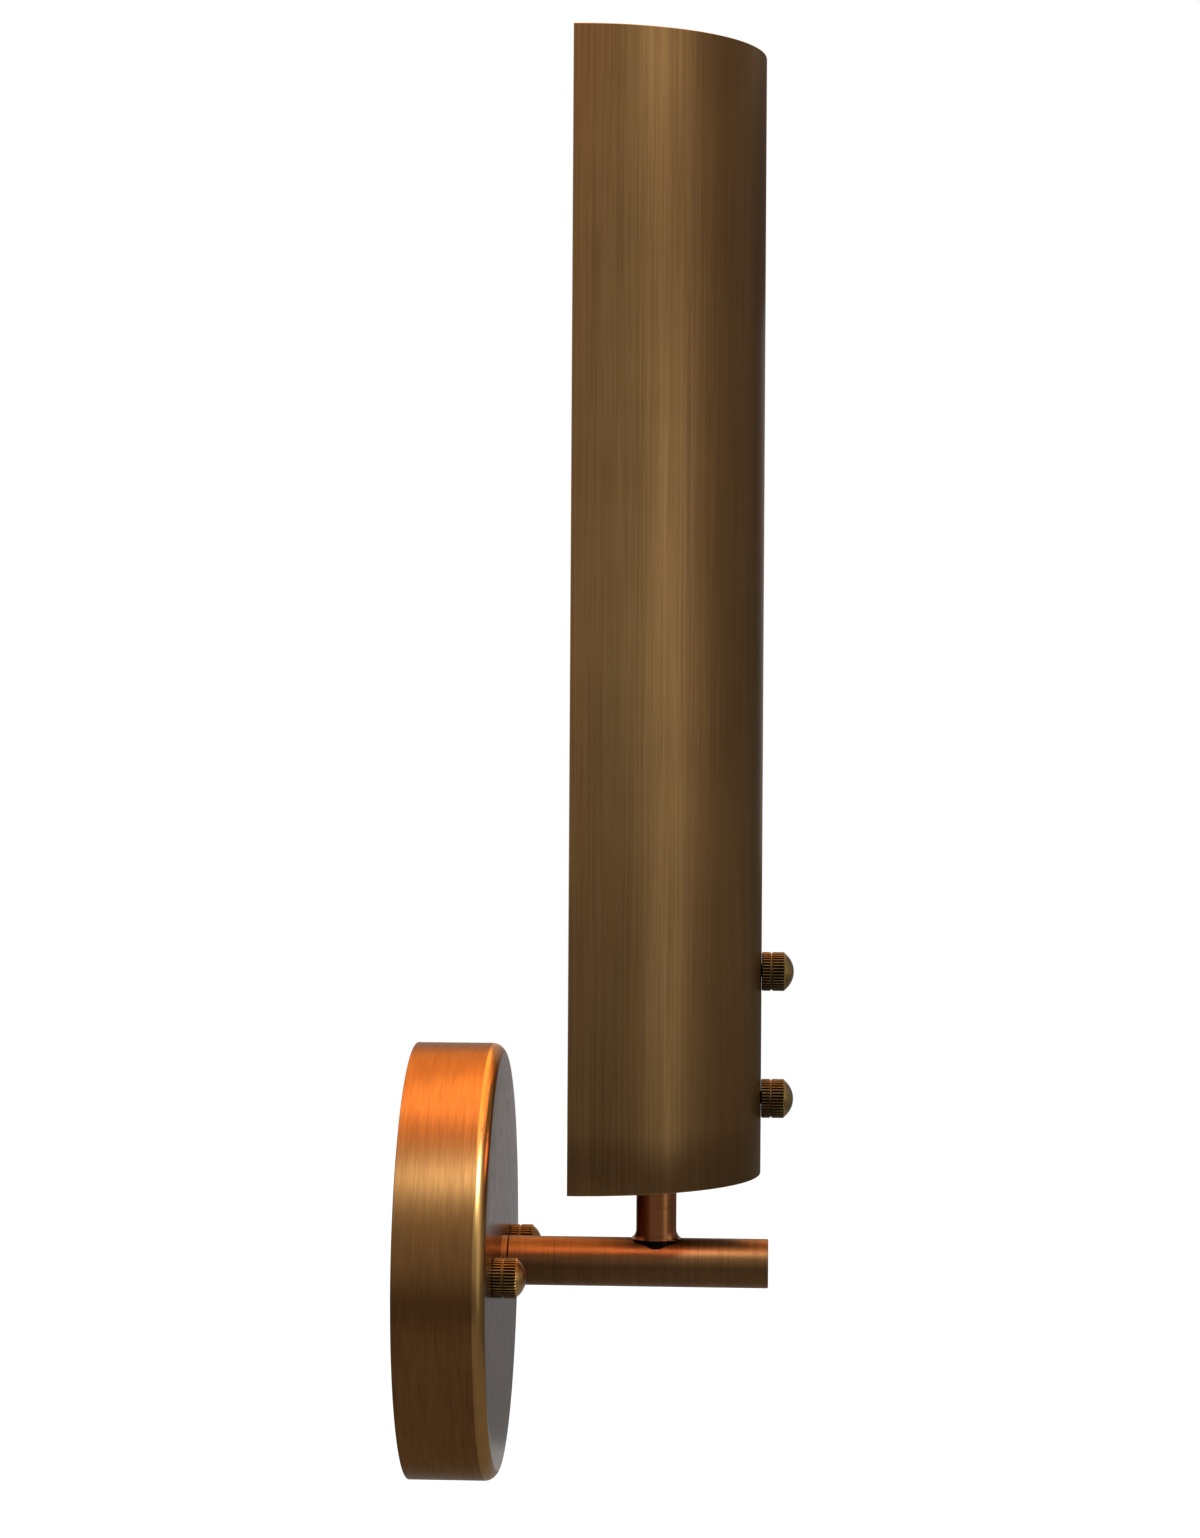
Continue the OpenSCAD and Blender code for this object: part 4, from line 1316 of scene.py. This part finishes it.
def background_rays(tree):
    """1 for the rays that see the background: straight, mirrored or through glass."""
    path = add(tree, "LightPath").outputs
    seen = arithmetic("MAXIMUM", path["Is Camera Ray"], path["Is Glossy Ray"])
    return arithmetic("MAXIMUM", seen, path["Is Transmission Ray"])


def make_world():
    world = bpy.data.worlds.new("studio")
    world.use_nodes = True
    tree = world.node_tree
    background = tree.nodes["Background"]
    background.inputs["Color"].default_value = WHITE
    feed(background, "Strength", remap(background_rays(tree), 0.0, 1.0, WORLD_FILL))
    bpy.context.scene.world = world


FLOOR_LEVEL = -0.45
FLOOR_RADIUS = 4.0


def make_floor():
    bm = bmesh.new()
    bmesh.ops.create_circle(
        bm, cap_ends=True, segments=128, radius=FLOOR_RADIUS,
        matrix=Matrix.Translation((0, 0, FLOOR_LEVEL)))
    mesh = as_mesh("floor", bm)
    material, tree, shader = begin_material(
        "floor", {"Base Color": (0.8, 0.8, 0.8, 1), "Roughness": 0.8, "Specular IOR Level": 0.1})
    shader.inputs["Emission Color"].default_value = WHITE
    feed(shader, "Emission Strength", remap(background_rays(tree), 0.0, 1.0, 0.0, FLOOR_GLOW))
    mesh.materials.append(material)
    floor = new_object("floor", mesh)


def make_card(name, bm, brightness, colour):
    """A studio card that only shows in reflections."""
    mesh = as_mesh(name, bm)
    material = bpy.data.materials.new(name)
    material.use_nodes = True
    tree = material.node_tree
    tree.nodes.clear()
    glow = add(tree, "Emission", {"Color": colour, "Strength": brightness})
    add(tree, "OutputMaterial", {"Surface": glow.outputs[0]})
    mesh.materials.append(material)
    card = new_object(name, mesh)
    hide_from(card, "camera", "diffuse", "shadow", "transmission")


def curved_card(start, end, radius, bottom, top):
    """A card that stands round the object, between two angles from -x towards -y, in metres."""
    bm = bmesh.new()
    turn = Matrix.Rotation(math.radians(start), 4, "Z")
    ends = [bm.verts.new(turn @ Vector((-radius, 0, height))) for height in (bottom, top)]
    return spin(bm, ends + [bm.edges.new(ends)], math.radians(end - start), 24)


def flat_card(inner, outer, level, x=0, squash=1):
    """A level ring or disc at a height, in metres. squash narrows it along y."""
    bm = bmesh.new()
    spin(bm, drawn_line(bm, [(inner, level), (outer, level)], False), math.tau, 64, use_merge=True)
    bmesh.ops.scale(bm, vec=(1, squash, 1), verts=bm.verts)
    return above(bm, x=x)


WARM_GLOW = (1.0, 0.48, 0.19, 1)
OLIVE_GLOW = (0.88, 1.0, 1.0, 1)

# Each card's name, start and end angle, radius, bottom, top, brightness and colour
CURVED_CARDS = (
    ("near", 14, 44, 0.75, 0.04, 0.27, 0.76, OLIVE_GLOW),
    ("near_high", 14, 44, 0.75, 0.27, 0.9, 1.15, OLIVE_GLOW),
    ("strip", 50, 67, 0.7, -0.3, 0.28, 2.2, OLIVE_GLOW),
    ("strip_high", 50, 67, 0.7, 0.28, 0.44, 3.2, OLIVE_GLOW),
    ("side", 86, 135, 1.3, -0.2, 1.4, 0.42, WHITE),
    ("middle", 135, 168, 1.3, -0.2, 0.25, 0.15, WHITE),
    ("front", 168, 215, 0.5, -0.08, 0.08, 0.42, WHITE),
    ("front_low", 168, 215, 0.5, -0.13, -0.08, 0.22, WHITE),
    ("back_high", 135, 240, 1.35, 0.08, 0.75, 0.12, WHITE),
    ("edge", 151, 240, 0.6, 0.09, 0.35, 0.8, WHITE),
)


def make_cards():
    for name, start, end, radius, bottom, top, brightness, colour in CURVED_CARDS:
        make_card(f"card_{name}", curved_card(start, end, radius, bottom, top), brightness, colour)
    make_card("card_warm", flat_card(0, 1.25, 1.0, 0.65, 0.35), 8.5, WARM_GLOW)
    make_card("card_below", flat_card(0, 0.36, -0.13), 0.54, WHITE)
    make_card("card_below_far", flat_card(0.36, 3.0, -0.13), 0.2, WHITE)


def make_light(name, kind, colour, watts, **settings):
    data = bpy.data.lights.new(name, kind)
    data.color = colour
    data.energy = watts
    for key, value in settings.items():
        setattr(data, key, value)
    return new_object(name, data)


def aim(light, place, target):
    light.location = place
    light.rotation_euler = (target - place).to_track_quat("-Z", "Y").to_euler()


def aim_from(light, azimuth, elevation, distance, target):
    """Places a light by its angle from -x towards -y and its angle above level, in degrees."""
    azimuth = math.radians(azimuth)
    elevation = math.radians(elevation)
    direction = Vector((
        -math.cos(elevation) * math.cos(azimuth),
        -math.cos(elevation) * math.sin(azimuth),
        math.sin(elevation),
    ))
    aim(light, target + direction * distance, target)


KEY_SIZE = 0.5
KEY_RADIANCE = 3.0
KEY_AZIMUTH = 55
KEY_ELEVATION = 44
KEY_DISTANCE = 1.5
KEY_TARGET = Vector((0, -0.05, 0.1))


def make_key_light():
    watts = KEY_RADIANCE * math.pi * KEY_SIZE ** 2
    key = make_light("key", "AREA", OLIVE_GLOW[:3], watts, shape="SQUARE", size=KEY_SIZE)
    aim_from(key, KEY_AZIMUTH, KEY_ELEVATION, KEY_DISTANCE, KEY_TARGET)


LAMP_LIGHTS = 9
LAMP_LIGHT_RADIUS = 0.005
LAMP_LIGHT_WATTS = 3.4
LAMP_LIGHT_COLOUR = (1.0, 0.6, 0.28)


def make_lamp_lights():
    """Small warm lights along the filaments."""
    bottom = low("lamp_filaments").z
    top = high("lamp_filaments").z
    for number in range(LAMP_LIGHTS):
        height = bottom + (top - bottom) * (number + 0.5) / LAMP_LIGHTS
        light = make_light(
            "lamp_light", "POINT", LAMP_LIGHT_COLOUR, LAMP_LIGHT_WATTS / LAMP_LIGHTS,
            shadow_soft_size=LAMP_LIGHT_RADIUS)
        light.location = (0, stem_y * MM, height * MM)
        hide_from(light, "camera", "transmission")
        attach(light, frame["nodes"]["lamp_filaments"]["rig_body"])


SPOT_AZIMUTH = 50
SPOT_ELEVATION = 44
SPOT_DISTANCE = 1.2
SPOT_TARGET = Vector((-0.03, -0.014, 0))
SPOT_WATTS = 225
SPOT_COLOUR = (0.85, 1.0, 1.0)
SPOT_CONE = math.radians(7)
SPOT_BLEND = 0.6
SPOT_RADIUS = 0.08


def make_spot():
    """A narrow light that only glints, on the canopy and the arm."""
    spot = make_light(
        "spot", "SPOT", SPOT_COLOUR, SPOT_WATTS, spot_size=SPOT_CONE, spot_blend=SPOT_BLEND,
        shadow_soft_size=SPOT_RADIUS)
    hide_from(spot, "camera", "diffuse", "transmission")
    aim_from(spot, SPOT_AZIMUTH, SPOT_ELEVATION, SPOT_DISTANCE, SPOT_TARGET)


GLOW_PLACE = Vector((-0.028, -0.065, 0.05))
GLOW_LENGTH = 0.028
GLOW_WIDTH = 0.016
GLOW_RADIANCE = 42.0
GLOW_COLOUR = (1.0, 0.42, 0.24)


def make_glow():
    """The bulb's light as the inside of the shade throws it down on the arm. It only glints."""
    watts = GLOW_RADIANCE * math.pi * GLOW_LENGTH * GLOW_WIDTH
    glow = make_light(
        "glow", "AREA", GLOW_COLOUR, watts, shape="RECTANGLE", size=GLOW_LENGTH, size_y=GLOW_WIDTH)
    hide_from(glow, "camera", "diffuse", "transmission")
    aim(glow, GLOW_PLACE, Vector((0, GLOW_PLACE.y, 0)))
    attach(glow, frame["nodes"]["shade"]["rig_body"])


make_world()
make_floor()
make_cards()
make_key_light()
make_spot()
make_glow()
make_lamp_lights()
bpy.context.scene.view_settings.view_transform = "Standard"
